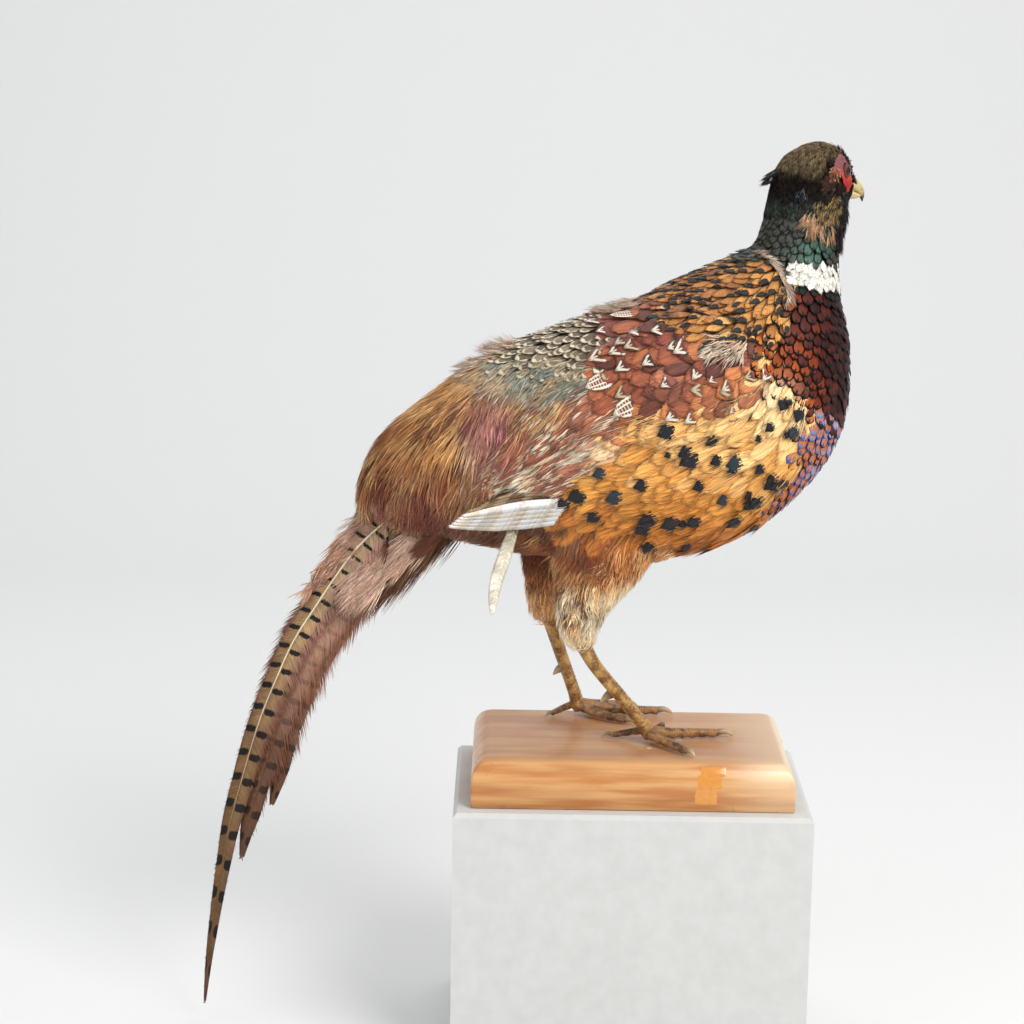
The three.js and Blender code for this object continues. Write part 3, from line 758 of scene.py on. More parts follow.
def chevron_marks(p, u, v, own, across):
    """A pale V set in from the rim."""
    wave = p.noise(p.vector(across, p.both(v, 3.0), p.both(own, 40.0)), 2.0)
    edge = p.either(p.both(u, 0.92), p.scale(v, 0.5, 1.0, 0.0, 1.0))
    edge = p.math("ADD", edge, p.both(p.math("SUBTRACT", wave, 0.5), 0.35))
    band = p.both(p.rise(edge, 0.52, 0.6), less(p, edge, 0.88))
    # the second share is a painted shadow that darkens the feather near its rim
    return p.both(band, p.rise(v, 0.45, 0.55)), p.rise(edge, 0.86, 0.92)


def outlined_marks(p, u, v, own, across):
    """A big feather with a pale outline, pale lines along it and small bars between them."""
    rim = p.both(p.rise(u, 0.6, 0.66), less(p, u, 0.92))
    line = less(p, p.math("ABSOLUTE", p.math("SUBTRACT", u, 0.3)), 0.09, 0.04)
    bars = p.both(p.rise(p.math("FRACT", p.both(v, 16.0)), 0.55, 0.65), 0.55)
    tip = p.rise(v, 0.88, 0.9)
    inside = p.either(p.either(rim, line), p.either(tip, bars))
    # the second share is a painted shadow that darkens the feather's outer rim
    return p.both(inside, p.rise(v, 0.4, 0.5)), less(p, 0.9, u)


def streak_marks(p, u, v, own, across):
    """Long pale streaks along the edges of a narrow feather."""
    wave = p.noise(p.vector(p.both(across, 1.3), p.both(v, 1.1), p.both(own, 60.0)), 1.6, 1.0)
    edge = p.math("ADD", p.both(u, 0.4), p.both(p.math("SUBTRACT", wave, 0.5), 1.6))
    edge = p.math("ADD", edge, p.both(p.math("SUBTRACT", own, 0.5), 0.25))
    return p.rise(edge, 0.22, 0.28), 0.0


def feather_paint(name, marks, rough=0.6, gloss=0.35, stripes=26.0, depth=0.55, sheen=0.15,
                  silk=False, gain=1.25):  # fmt: skip
    p = Paint(name)
    across, v, own = p.parts(p.stored("vane").outputs["Vector"])
    u = p.math("ABSOLUTE", across)
    strand = p.stored("strand").outputs["Fac"]
    colour = p.stored("ground").outputs["Color"]
    mark = p.stored("mark").outputs["Color"]
    if silk:
        run = p.vector(p.both(across, stripes / 3), p.both(v, 1.7), p.both(own, 91.0))
    else:
        slant = p.math("SUBTRACT", v, p.both(u, 0.3))
        run = p.vector(p.both(across, 1.2), p.both(slant, stripes), p.both(own, 91.0))
    fine = p.noise(run, 1.0, 2.0)
    broad = p.noise(p.vector(p.both(across, 1.5), p.both(v, 2.0), p.both(own, 55.0)), 1.6, 2.0)
    light = p.math("ADD", p.scale(fine, 0.3, 0.7, 1 - depth, 1 + 0.55 * depth),
                   p.scale(strand, 0.0, 1.0, -0.25, 0.25))  # fmt: skip
    light = p.both(light, p.scale(broad, 0.3, 0.7, 0.82 * gain, 1.18 * gain))
    # painted shade: each feather grows darker towards its root, where the feathers over it would shade it
    light = p.both(light, p.scale(v, 0.0, 0.5, 0.85 if silk else 0.6, 1.0))
    if marks is not plain_marks:
        pale, dark = marks(p, u, v, own, across)
        # the marks' second share darkens the feather here: painted shadow
        light = p.both(light, p.math("SUBTRACT", 1.0, p.both(dark, 0.6)))
        colour = p.mix(1.0, colour, p.vector(light, light, light), "MULTIPLY")
        quiet = p.scale(light, 0.4, 1.4, 0.75, 1.15)
        colour = p.mix(pale, colour, p.mix(1.0, mark, p.vector(quiet, quiet, quiet), "MULTIPLY"))
    else:
        colour = p.mix(1.0, colour, p.vector(light, light, light), "MULTIPLY")
    normal = p.bump(fine, 0.35, 0.0004)
    return p.finish(colour, rough, normal, Sheen_Weight=sheen, Sheen_Roughness=0.5,
                    Specular_IOR_Level=gloss)  # fmt: skip


PAINTS = {
    "scale": feather_paint("feather_scale", rim_marks, 0.5, 0.2, depth=0.4, sheen=0.0),
    "plain": feather_paint("feather_plain", plain_marks, 0.6, 0.3),
    "silk": feather_paint("feather_silk", plain_marks, 0.55, 0.35, stripes=30.0, depth=0.5, silk=True),
    "gloss": feather_paint("feather_gloss", rim_marks, 0.42, 0.3, depth=0.35, sheen=0.0),
    "blot": feather_paint("feather_blot", blot_marks, 0.55, 0.35, stripes=30.0, silk=True),
    "mantle": feather_paint("feather_mantle", mantle_marks, 0.55, 0.35, depth=0.4),
    "dart": feather_paint("feather_dart", dart_marks, 0.6, 0.3, depth=0.4),
    "chevron": feather_paint("feather_chevron", chevron_marks, 0.6, 0.3, depth=0.4),
    "outlined": feather_paint("feather_outlined", outlined_marks, 0.6, 0.3, depth=0.4),
    "streak": feather_paint("feather_streak", streak_marks, 0.6, 0.3, stripes=24.0, silk=True),
    "soft": feather_paint("feather_soft", plain_marks, 0.7, 0.25, depth=0.35, silk=True),
    "crown": feather_paint("feather_crown", plain_marks, 0.7, 0.2, depth=0.3, silk=True,
                           sheen=0.0, gain=1.0),
}  # fmt: skip

SHAPES = {
    "scale": lambda length, half: [vane(length, half, 6, 6, 0.35) for _ in range(2)],
    "lance": lambda length, half: [
        combined(
            vane(length * 0.97, half, 7, 4, 0.3, fullest=0.5, point=0.85),
            barbs(length, half, 12, 0.35, 0.95, 0.3, rings=3, sweep=0.25, tips=0.3),
        )
        for _ in range(3)
    ],
    "contour": lambda length, half: [
        combined(
            vane(length * 0.97, half, 6, 6, 0.3),
            barbs(length, half, 20, 0.4, 1.02, 0.26, rings=3, sweep=0.3, tips=0.15),
        )
        for _ in range(3)
    ],
    "silk": lambda length, half: [
        combined(
            vane(length * 0.9, half * 0.85, 6, 6, 0.3),
            hairs(length, half, 17, 0.3, rings=4, messy=0.09, tips=0.5),
        )
        for _ in range(4)
    ],
    "loose": lambda length, half: [
        combined(
            vane(length * 0.8, half * 0.8, 5, 4, 0.3),
            barbs(length, half, 22, 0.2, 1.0, 0.34, rings=3, sweep=0.45, messy=0.12, tips=0.8),
        )
        for _ in range(3)
    ],
    "plume": lambda length, half: [hairs(length, half, 14, 0.42) for _ in range(4)],
    "floss": lambda length, half: [
        hairs(length, half, 14, 0.27, rings=3 if length < 12 else 4, messy=0.2, tips=1.0)
        for _ in range(4)
    ],
    "wisp": lambda length, half: [
        hairs(length, half, 6, 0.2, rings=4, messy=0.25, tips=1.2) for _ in range(5)
    ],
    "down": lambda length, half: [
        hairs(length, half, 10, 0.32, rings=3, messy=0.3, tips=1.5) for _ in range(4)
    ],
}

# ---- tracts: what grows where ---------------------------------------------------------

# Outlines are on the side view, x and z in millimetres, and hold for both sides.
# tone gives the place in the ground colours: per mm of x, per mm of z, and a constant.
TRACTS = {
    "breast": dict(
        outline=[(97, 345), (104, 357), (141, 352), (152, 330), (154, 290), (152, 262), (135, 262),
                 (120, 272), (105, 279), (89, 293), (78, 307), (74, 319), (88, 323), (97, 338)],
        paint="scale", shape="scale", length=12.5, half=4.8, spacing=5.2, even=True,
        ground=("#2a0e0c", "#4c1a14", "#7c3014", "#a8531c", "#bf6a26"),
        mark=("#060404", "#0c0808"), spread=0.4, tone=(-0.0135, -0.004, 3.1), turn=0.03, depth=2.4, ragged=0.03, slot="breast_plumage"),
    "low_breast": dict(
        outline=[(120, 272), (135, 262), (152, 262), (152, 240), (130, 215), (106, 190), (86, 170),
                 (60, 150), (50, 160), (84, 186), (100, 219), (108, 249), (108, 263)],
        paint="scale", shape="scale", length=11, half=4.4, spacing=4.9, even=True,
        ground=("#8a4426", "#b0663a", "#b06e58", "#9c8094", "#ac9cb0"),
        mark=("#0c1226", "#10142c", "#2f56a0", "#6c9cd0"), tone=(0.012, 0, -1.05), turn=0.06, depth=2.4, ragged=0.05, slot="breast_plumage"),
    "flank": dict(
        outline=[(78, 307), (89, 293), (105, 279), (120, 272), (108, 263), (108, 249), (100, 219),
                 (84, 186), (50, 160), (8, 162), (-20, 168), (-55, 178), (-60, 214), (-34, 240),
                 (-28, 254), (-1, 267), (19, 274), (69, 277), (74, 292)],
        paint="silk", shape="silk", length=42, half=9, spacing=8.2, spread=0.4,
        ground=("#8e4c1a", "#c2762a", "#dc983e", "#f4c680"), mark=("#120e16", "#1e1a26"),
        tone=(0.001, 0.007, -0.95), turn=0.09, depth=3.2, lift=0.4, slot="trunk_plumage"),
    "mantle": dict(
        outline=[(66, 390), (90, 380), (104, 362), (103, 350), (97, 345), (88, 323), (74, 319),
                 (66, 319), (45, 323), (25, 326), (13, 334), (8, 344), (-2, 350), (6, 362),
                 (40, 376)],
        paint="mantle", shape="lance", length=17, half=3.9, spacing=5.0,
        ground=("#704422", "#a86c30", "#c88c44", "#d8ac68"), mark=("#0d0a0a", "#1a120c", "#12211c"),
        tone=(0.004, -0.009, 3.35), turn=0.14, depth=2.8, lift=0.5, slot="trunk_plumage"),
    "back": dict(
        outline=[(-18, 352), (-24, 333), (-30, 300), (-46, 298), (-62, 300), (-82, 299), (-104, 305),
                 (-126, 312), (-60, 345)],
        paint="chevron", shape="contour", length=15, half=4.3, spacing=5.4,
        ground=("#463a30", "#6e5e4c", "#93806a"), mark=("#b8a88a", "#e0d4b8"), tone=(0, 0, 0.45),
        turn=0.24, depth=3, lift=0.7, slot="trunk_plumage"),
    "teal": dict(
        outline=[(-30, 301), (-46, 299), (-82, 300), (-104, 306), (-130, 306), (-122, 288),
                 (-106, 281), (-86, 279), (-58, 285), (-36, 290)],
        paint="soft", shape="plume", length=26, half=6, spacing=4.8,
        ground=("#74807a", "#98a298", "#bcae90", "#b4946c"), mark=("#8c8468", "#8c8468"),
        tone=(0, 0, 0.45), turn=0.22, depth=3.4, lift=0.9, slot="rump_plumage"),
    "wing": dict(
        outline=[(2, 372), (6, 360), (8, 344), (13, 334), (25, 326), (45, 323), (66, 319),
                 (80, 319), (78, 307), (74, 292), (69, 277), (19, 274), (-1, 267), (-14, 270),
                 (-29, 284), (-40, 292), (-30, 300), (-24, 333), (-18, 352)],
        paint="silk", shape="contour", length=27, half=7.5, spacing=7.6,
        ground=("#5a2a20", "#844230", "#9c5632", "#c07444"), mark=("#cbbd9a", "#e8dcc4"),
        spread=0.9, clumps=0.6, tone=(0.002, -0.006, 2.25), turn=0.16, depth=3.2, lift=0.5, slot="wing_plumage"),
    "tertials": dict(
        outline=[(-40, 292), (-29, 284), (-14, 270), (-1, 267), (-28, 254), (-34, 240), (-60, 214),
                 (-116, 206), (-108, 228), (-84, 256), (-58, 286)],
        paint="streak", shape="silk", length=50, half=6.4, spacing=8.0,
        ground=("#8a4630", "#a8664a", "#9a5a48"), mark=("#e0caa0", "#fbf2dc"), tone=(0, 0, 0.4),
        turn=0.1, depth=3.0, lift=0.9, slot="wing_plumage"),
    "tail_coverts": dict(
        outline=[(-176, 196), (-165, 176), (-165, 150), (-200, 40), (-290, 40), (-240, 160),
                 (-205, 196)],
        paint="soft", shape="plume", length=26, half=5.5, spacing=4.6,
        ground=("#b07c60", "#cc9c80", "#dcb49c"), mark=("#5c2412", "#5c2412"), tone=(0, 0, 0.5),
        turn=0.1, depth=2.6, lift=0.6, slot="rump_plumage"),
    "rump": dict(
        outline=[(-60, 350), (-58, 286), (-84, 256), (-108, 228), (-116, 205), (-118, 168),
                 (-150, 150), (-260, 100), (-260, 350)],
        paint="soft", shape="plume", length=42, half=7, spacing=5.2,
        ground=("#5e2c18", "#94542c", "#c08650", "#e2b478"), mark=("#5c2412", "#5c2412"),
        clumps=1.5, tone=(0, 0.0028, -0.1), turn=0.14, depth=4.5, lift=1.6, slot="rump_plumage"),
    "vent": dict(
        outline=[(-60, 214), (-116, 206), (-118, 168), (-150, 150), (-20, 120), (-45, 168)],
        paint="soft", shape="floss", length=24, half=6, spacing=5.9,
        ground=("#5c3824", "#8c5c3c", "#b08460"), mark=("#2c1a12", "#2c1a12"), tone=(0, 0, 0.4),
        turn=0.3, depth=4, lift=2.2, slot="thigh_plumage"),
}  # fmt: skip

# Local tints over the tracts: x, z, reach in x and z, colour, strength.
TINTS = [
    (-104, 263, 14, 19, "#c87c90", 1.0), (-90, 250, 7, 13, "#a0401c", 0.8),
    (-134, 236, 18, 14, "#ecb268", 0.7), (-116, 242, 7, 12, "#e6cbac", 0.7),
    (-150, 205, 36, 25, "#7c2a0e", 1.0), (-132, 285, 14, 9, "#deaa66", 0.7),
    (-114, 290, 16, 11, "#d4ac78", 0.7), (-170, 250, 12, 22, "#8c4c28", 0.7),
    (-190, 178, 14, 14, "#c89080", 0.7), (-12, 296, 26, 9, "#b05a30", 0.5),
    (50, 288, 30, 9, "#bc7248", 0.5), (20, 300, 14, 8, "#a87064", 0.4),
    (48, 250, 30, 18, "#f0c684", 0.5), (84, 270, 16, 12, "#f4d8a4", 0.7),
    (90, 286, 12, 10, "#f6e4bc", 0.8), (-28, 250, 12, 10, "#f4e2c4", 0.7),
    (10, 168, 60, 7, "#8c3a1a", 0.75), (85, 335, 9, 14, "#d89c48", 0.5),
    (30, 352, 30, 7, "#a87038", 0.4), (-50, 290, 12, 5, "#7c9c94", 0.7),
]  # fmt: skip


def station_of(points):
    return body_place(points)[0]


def tract_of(points, stray=0.0):
    """The tract of each point, -1 where it is head, neck or leg; stray blurs the borders."""
    x = points[:, 0] + stray * rng.normal(size=len(points))
    z = points[:, 2] + stray * rng.normal(size=len(points))
    found = np.full(len(points), -1)
    for i, tract in enumerate(TRACTS.values()):
        found[(found < 0) & inside(tract["outline"], x, z)] = i
    return found


def tract_colour(tract, points, spread):
    """The ground colours of a tract at points, with the local tints over them."""
    gx, gz, middle = tract["tone"]
    tone = middle + gx * points[:, 0] + gz * points[:, 2] + spread * (rng.random(len(points)) - 0.5)
    if "clumps" in tract:
        # locks of one colour run down the coat
        locks = [noise.noise(Vector((x / 9, y / 9, z / 34))) for x, y, z in points]
        tone = tone + tract["clumps"] * np.array(locks)
    colours = shade(tract["ground"], tone)
    for x, z, reach_x, reach_z, code, strength in TINTS:
        off = ((points[:, 0] - x) / reach_x) ** 2 + ((points[:, 2] - z) / reach_z) ** 2
        share = strength * np.exp(-off)[:, None]
        share = share * (1 - spread * rng.random(len(points))[:, None] * 0.5)
        colours = colours * (1 - share) + hue(code) * share
    return colours


def plant(name, shape, span, paint, slot, roots, normals, ground, mark=None, replaced=(), **extras):
    """Feathers of one kind at the roots, as one coat piece."""
    length, half = span
    shapes = SHAPES[shape](length, half) if isinstance(shape, str) else [shape]
    mark = ground if mark is None else mark
    batches = grow(shapes, roots, normals, length, half, ground, mark, **extras)
    return coat(name, batches, PAINTS[paint], slot, replaced)


def grow_tract(name):
    tract = TRACTS[name]
    index = list(TRACTS).index(name)
    breast = tract["slot"] == "breast_plumage"
    reach = lie_at(outside.centres, outside.face_normals) * 0.6 * tract["length"]
    roots, normals = outside.scatter(
        tract["spacing"], lambda p: (tract_of(p + reach, 2.5) == index)
        & ((above_collar(p) < -10) if breast else ~above_nape(p)))  # fmt: skip
    if tract.get("even"):
        roots, normals = outside.evened(roots, tract["spacing"])
    extras = {k: tract[k] for k in ("depth", "lift", "turn", "ragged") if k in tract}
    extras["cling"] = 0.75 if tract["shape"] in ("plume", "down") else 1.0
    tips = roots + lie_at(roots, normals) * 0.6 * tract["length"]
    plant(f"{name}_feathers", tract["shape"], (tract["length"], tract["half"]), tract["paint"],
          tract["slot"], roots, normals, tract_colour(tract, tips, tract.get("spread", 0.7)),
          shade(tract["mark"], rng.random(len(roots))), **extras)  # fmt: skip


def placed(tips, back):
    """Roots on both sides for feathers whose marks sit at these side-view places."""
    spots = []
    for x, z in tips:
        for start, way in ((-300.0, 1.0), (300.0, -1.0)):
            hit, _, face, _ = outside.tree.ray_cast(Vector((x, start, z)), Vector((0, way, 0)))
            if hit is not None:
                spots.append((*hit, face))
    spots = np.array(spots)
    at = spots[:, :3]
    normals = outside.face_normals[spots[:, 3].astype(int)]
    return outside.snap(at - lie_at(at, normals) * back)


# Side-view places of the single marks that stand out.
BLOTS = [
    (18, 266), (47, 257), (65, 259), (75, 269), (86, 260), (89, 275), (94, 280), (99, 266),
    (105, 274), (6, 243), (30, 248), (39, 246), (46, 240), (55, 234), (66, 242), (74, 239),
    (-31, 233), (-1, 226), (36, 223), (-38, 214), (-14, 214), (55, 213), (66, 214), (74, 211),
    (84, 216), (93, 233), (92, 223), (97, 229), (-49, 202), (-28, 196), (12, 205), (29, 199),
    (37, 201), (23, 192), (7, 188), (14, 175), (71, 200), (78, 189), (33, 174), (49, 174),
]  # fmt: skip
DARTS = [
    (-33, 330), (6, 339), (-30, 323), (-16, 322), (-8, 317), (-29, 310), (-17, 313), (-14, 305),
    (2, 310), (-1, 326), (9, 327), (18, 319), (25, 321), (28, 310), (36, 312), (38, 297),
    (53, 295), (61, 303), (69, 297), (75, 303), (9, 296), (39, 287), (51, 276), (28, 274),
    (19, 276), (-21, 273), (10, 266), (61, 287), (-17, 288),
]  # fmt: skip
OUTLINED = [(-20, 333), (-12, 278), (-34, 292)]


def single_marks():
    """The blots on the flanks and the darts and outlined feathers on the wings."""
    flank, wing = TRACTS["flank"], TRACTS["wing"]
    roots, normals = placed(BLOTS, 26)
    dark = shade(("#0c0a10", "#181420", "#22303a"), rng.random(len(roots)) ** 2)
    plant("flank_blots", "silk", (32, 7.4), "blot", "trunk_plumage", roots, normals,
          tract_colour(flank, roots + (-15, 0, -5), 0.3), dark, depth=2, lift=2.3, turn=0.05,
          size=0.22, ragged=0.03)  # fmt: skip
    roots, normals = placed(DARTS, 19)
    pale = shade(("#c8b898", "#ece2cc", "#f4eee0"), rng.random(len(roots)))
    plant("wing_darts", "scale", (20, 5.4), "dart", "wing_plumage", roots, normals,
          tract_colour(wing, roots, 0.5), pale, depth=3, lift=1.5, turn=0.2,
          size=0.2, ragged=0.06)  # fmt: skip
    roots, normals = placed(OUTLINED, 27)
    plant("wing_outlined", "scale", (31, 7.0), "outlined", "wing_plumage", roots, normals,
          tract_colour(wing, roots, 0.2) * 0.6, shade(("#ece2cc",) * 2, np.ones(len(roots))),
          depth=3, lift=2.6, turn=0.05, size=0.1, ragged=0.03)  # fmt: skip


def near(points, x, z, reach_x, reach_z):
    off = ((points[:, 0] - x) / reach_x) ** 2 + ((points[:, 2] - z) / reach_z) ** 2
    return off < 1


def fluff():
    """Pale down that shows between the feathers, and tufts that stand up along the back."""
    roots, normals = outside.scatter(3.6, lambda p: near(p, 60, 322, 13, 4.5))
    tone = shade(("#b89880", "#dcc4ac", "#f0e2ce"), rng.random(len(roots)))
    plant("wing_fluff", "down", (17, 4.5), "soft", "wing_plumage", roots, normals, tone,
          depth=1.5, lift=2.0, turn=0.3, cling=0.8)  # fmt: skip
    for name, x, z, reach, lift, count in (("a", -90, 306, 9, 9, 3.0), ("b", -14, 343, 15, 4, 3.4),
                                           ("c", -112, 296, 5, 6, 3.0)):  # fmt: skip
        roots, normals = outside.scatter(
            count, lambda p: near(p, x, z, reach, 9) & (np.abs(p[:, 1] - BIRD_Y) < 14))
        tone = shade(("#a8846c", "#ccb49e", "#dcc8b4"), rng.random(len(roots)))
        plant(f"back_tuft_{name}", "down", (14, 4), "soft", "trunk_plumage", roots, normals, tone,
              depth=1, lift=lift, turn=0.4, cling=0.5)  # fmt: skip
    roots, normals = outside.scatter(3.8, lambda p: near(p, 78, 381, 8, 5))
    tone = shade(("#0e0d0d", "#1c2622", "#29423a", "#5a4636"), rng.random(len(roots)))
    plant("nape_feathers", "lance", (13, 3.4), "silk", "neck_plumage", roots, normals, tone,
          depth=1.5, lift=1.6, turn=0.3)  # fmt: skip
    curve = spline([(76, 379), (86, 374), (93, 366), (97, 357), (98, 347)], np.linspace(0, 4, 80))
    roots, normals = placed(curve[:70:2], 0)
    ahead = np.repeat((curve[6:76:2] - curve[:70:2]), 2, axis=0)
    ahead = unit(np.stack([ahead[:, 0], 0 * ahead[:, 0], ahead[:, 1]], 1))
    tone = shade(("#b08c78", "#d8c0aa", "#f2e8d8"), rng.random(len(roots)))
    plant("collar_edge_plumes", "wisp", (12, 1.5), "soft", "trunk_plumage", roots, normals, tone,
          depth=0, lift=1.2, turn=0.12, lies=ahead)  # fmt: skip


def skin():
    """One skin under all the feathers, with the colours of the coat over it at half strength: partly the darker
    down there, partly painted shade under the feathers.
    """
    points, tris = outside.points, outside.tris
    depth = np.where(points[:, 2] > 400, 1.8, 4.2)
    head = in_head(points)
    depth = np.where((head[:, 0] > 4) & (points[:, 2] > 400), 1.0, depth)
    depth = np.where((points[:, 0] < -135) & (points[:, 2] < 195), 1.2, depth)
    obj = mesh_object("skin", points - outside.normals * depth[:, None], tris)
    station, _ = body_place(points)
    where = tract_of(points)
    colours = np.tile(hue("#1c1612"), (len(points), 1))
    for i, tract in enumerate(TRACTS.values()):
        mine = where == i
        # half the coat's colour: partly the darker down, partly painted shade under the feathers
        colours[mine] = tract_colour(tract, points[mine], 0.0) * 0.5
    colours[(points[:, 2] < 165) & (where < 0)] = hue("#6a4426")
    colours[(station < 5.1) & (where < 0)] = hue("#0c1614")
    band = collar_band(points)
    colours[band] = hue("#b8b4aa")
    put(obj.data, "ground", "FLOAT_COLOR", colours)
    p = Paint("skin")
    ground = p.stored("ground").outputs["Color"]
    patches = p.noise(p.place((1, 1, 1)), 260.0)
    light = p.scale(patches, 0.3, 0.7, 0.6, 1.3)
    colour = p.mix(1.0, ground, p.vector(light, light, light), "MULTIPLY")
    obj.data.materials.append(p.finish(colour, 0.85, p.bump(patches, 0.6, 0.001)))
    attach(obj, "root")
    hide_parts(*FLESH, *WINGS)


# ---- neck, collar and head --------------------------------------------------------------

WATTLE_OUTLINE = [(-9, 4), (-4, 13), (4, 17), (12, 13), (18, 4), (18, -4), (12, -9.5), (1, -7)]


def above_collar(p):
    """How far points lie above the middle of the white ring's roots, in mm."""
    return p[:, 2] - np.interp(p[:, 0], [97, 103, 114, 125, 137], [371, 370, 370, 368, 366])


def above_nape(p):
    """Where the neck starts, behind and beside it."""
    return (p[:, 2] > 386 - 0.55 * (p[:, 0] - 75)) & (p[:, 2] > 362)


def collar_band(p, reach=5.0):
    """The white ring's roots: from the front of the neck to behind its side."""
    return (np.abs(above_collar(p)) < reach) & (p[:, 0] > 103)


def bare_face(points):
    """The face's red skin, the eye and the bill's root, where no feathers grow."""
    local = in_head(points)
    x, z = (local[:, 0] - 8) / 0.6 + 8, (local[:, 2] - 4) / 0.66 + 4
    red = inside(WATTLE_OUTLINE, x, z) & (np.abs(local[:, 1]) > 5.5)
    return (points[:, 2] > 400) & (red | (local[:, 0] > 26))


def neck_feathers():
    def neck(p):
        return above_nape(p) & (p[:, 2] < 416) & ((p[:, 0] < 103) | (above_collar(p) > 7))

    roots, normals = outside.evened(outside.scatter(3.8, neck)[0], 3.8)
    green = np.exp(-(((roots[:, 0] - 117) / 14) ** 2 + ((roots[:, 2] - 386) / 13) ** 2))
    green += 0.7 * np.exp(-(((roots[:, 0] - 112) / 8) ** 2 + ((roots[:, 2] - 410) / 9) ** 2))
    tone = 0.85 * green + 0.2 * rng.random(len(roots))
    plant("neck_feathers", "contour", (10, 3.5), "gloss", "neck_plumage", roots, normals,
          shade(("#3a3832", "#40413a", "#3a473e", "#365044", "#4a6c5e"), tone),
          shade(("#201f1b", "#24271f", "#223a30"), tone), depth=1.5, lift=0.3, turn=0.18, ragged=0.1)  # fmt: skip

    roots, normals = outside.evened(outside.scatter(2.5, collar_band)[0], 2.5)
    white = shade(("#d8d4ca", "#f2eee6"), rng.random(len(roots)))
    plant("collar_feathers", "lance", (9.5, 3.4), "soft", "collar_plumage", roots, normals, white,
          depth=0.6, lift=0.6, turn=0.2, ragged=0.12)  # fmt: skip

    def under_collar(p):
        return (above_collar(p) < -5) & (above_collar(p) > -12) & (p[:, 0] > 98)

    roots, normals = outside.scatter(3.8, under_collar)
    dark = shade(("#0c1412", "#1c3028", "#2a463a"), rng.random(len(roots)))
    plant("under_collar_feathers", "contour", (8, 3.2), "gloss", "neck_plumage", roots, normals, dark,
          dark * 0.3, depth=1.8, lift=0.2, turn=0.1)  # fmt: skip


def head_colours(points):
    """Olive brown on the crown, nearly black on the cheeks, dark green towards the neck."""
    local = in_head(points)
    count = len(points)
    low = 8 - 13 * smooth(local[:, 0], -8, -20) + 4 * rng.random(count)
    crown = smooth(local[:, 2] - low, 0, 8) * smooth(local[:, 0], 17, 9)
    cheek = shade(("#0a0706", "#1a1210", "#2a1a14"), rng.random(count))
    green = shade(("#262822", "#3a443c", "#4a5a4e"), rng.random(count))
    neck = smooth(points[:, 2], 424, 410)[:, None]
    ground = cheek * (1 - neck) + green * neck
    olive = shade(("#4a3c2a", "#74644a", "#8c7c5c", "#84644c"), rng.random(count))
    ground = ground * (1 - crown[:, None]) + olive * crown[:, None]
    brown = np.exp(-(((local[:, 0] - 2) / 8) ** 2 + ((local[:, 2] + 3) / 5) ** 2))[:, None] * 0.5
    return ground * (1 - brown) + hue("#4a2616") * brown


def head_feathers():
    roots, normals = outside.scatter(2.1, lambda p: (p[:, 2] >= 408) & ~bare_face(p))
    ground = head_colours(roots)
    plant("head_feathers", "floss", (7, 1.7), "crown", "head_plumage", roots, normals, ground,
          replaced=["nape_tuft"], depth=0.7, lift=0.0, turn=0.12, cling=0.95)  # fmt: skip
    scales, up = outside.scatter(3.0, lambda p: (p[:, 2] >= 408) & ~bare_face(p))
    # the under layer takes the head's colours at 0.6: painted shade under the feathers over it
    under = 0.6 * head_colours(scales)
    plant("head_under_feathers", vane(6, 2.2, 4, 4, 0.2), (6, 2.2), "crown", "head_plumage",
          scales, up, under, depth=1.2, lift=0.0, turn=0.1)  # fmt: skip

    # gold and tan streaks on the cheek and throat, a blue-grey patch behind the ear
    for name, spots, codes, span, lift in (
        ("gold_streaks", [(120, 412, 4), (127, 409, 5), (132, 414, 4)], ("#5a4020", "#cca66c"),
         (6.5, 1.2), 1),
        ("tan_streaks", [(113, 406, 4), (117, 400, 4), (127, 397, 2)], ("#8a5c40", "#dcb48e"),
         (11, 1.4), 1),
        ("blue_patch", [(108, 421, 3)], ("#2c3038", "#646c80"), (5, 1.6), 0.5),
        ("cheek_bristles", [(126, 429, 5), (127, 423, 4)], ("#24140e", "#5a3420"), (5, 1.2), 0.8),
        ("orange_bristles", [(130, 434, 4)], ("#8a4a2c", "#e4ac7c"), (4.5, 1.0), 1.2),
    ):  # fmt: skip
        roots, normals = outside.scatter(
            1.7, lambda p: np.any([near(p, x, z, r, r * 1.3) for x, z, r in spots], 0) & (p[:, 1] < 40))
        tone = shade(codes, rng.random(len(roots)))
        plant(name, "wisp", span, "soft", "head_plumage", roots, normals, tone, depth=0.3,
              lift=lift, turn=0.25, cling=0.8)  # fmt: skip

    def forehead(p):
        local = in_head(p)
        return (p[:, 2] > 400) & (np.abs(local[:, 1]) < 7) & (local[:, 0] > 8) & (local[:, 2] > 2)

    roots, normals = outside.scatter(2.0, forehead)
    black = shade(("#070505", "#1a1210"), rng.random(len(roots)))
    plant("forehead_fringe", "down", (5.5, 1.6), "soft", "head_plumage", roots, normals, black,
          depth=0.2, lift=2.4, turn=0.5, cling=0.5)  # fmt: skip

    def throat(p):
        local = in_head(p)
        return (p[:, 2] > 385) & (local[:, 2] < -9) & (local[:, 0] > 4)

    roots, normals = outside.scatter(3.0, throat)
    black = shade(("#080606", "#1a1012", "#2a1c1c"), rng.random(len(roots)))
    plant("throat_feathers", "down", (10, 2.6), "soft", "head_plumage", roots, normals, black,
          depth=0.5, lift=2.8, turn=0.35, cling=0.6)  # fmt: skip
    roots, normals = outside.snap(
        np.array([(95.0, y, z) for y in (6, 8, 10, 12) for z in (427, 430, 433)]))
    black = shade(("#050505", "#100e10"), rng.random(len(roots)))
    back = np.tile(unit(np.array([-0.85, 0.0, -0.53])), (len(roots), 1))
    above = np.tile(unit(np.array([-0.53, 0.0, 0.85])), (len(roots), 1))
    plant("nape_tuft_feathers", "floss", (12, 1.5), "soft", "neck_plumage", roots, above, black,
          depth=0, lift=0, turn=0.3, cling=0, lies=back)  # fmt: skip


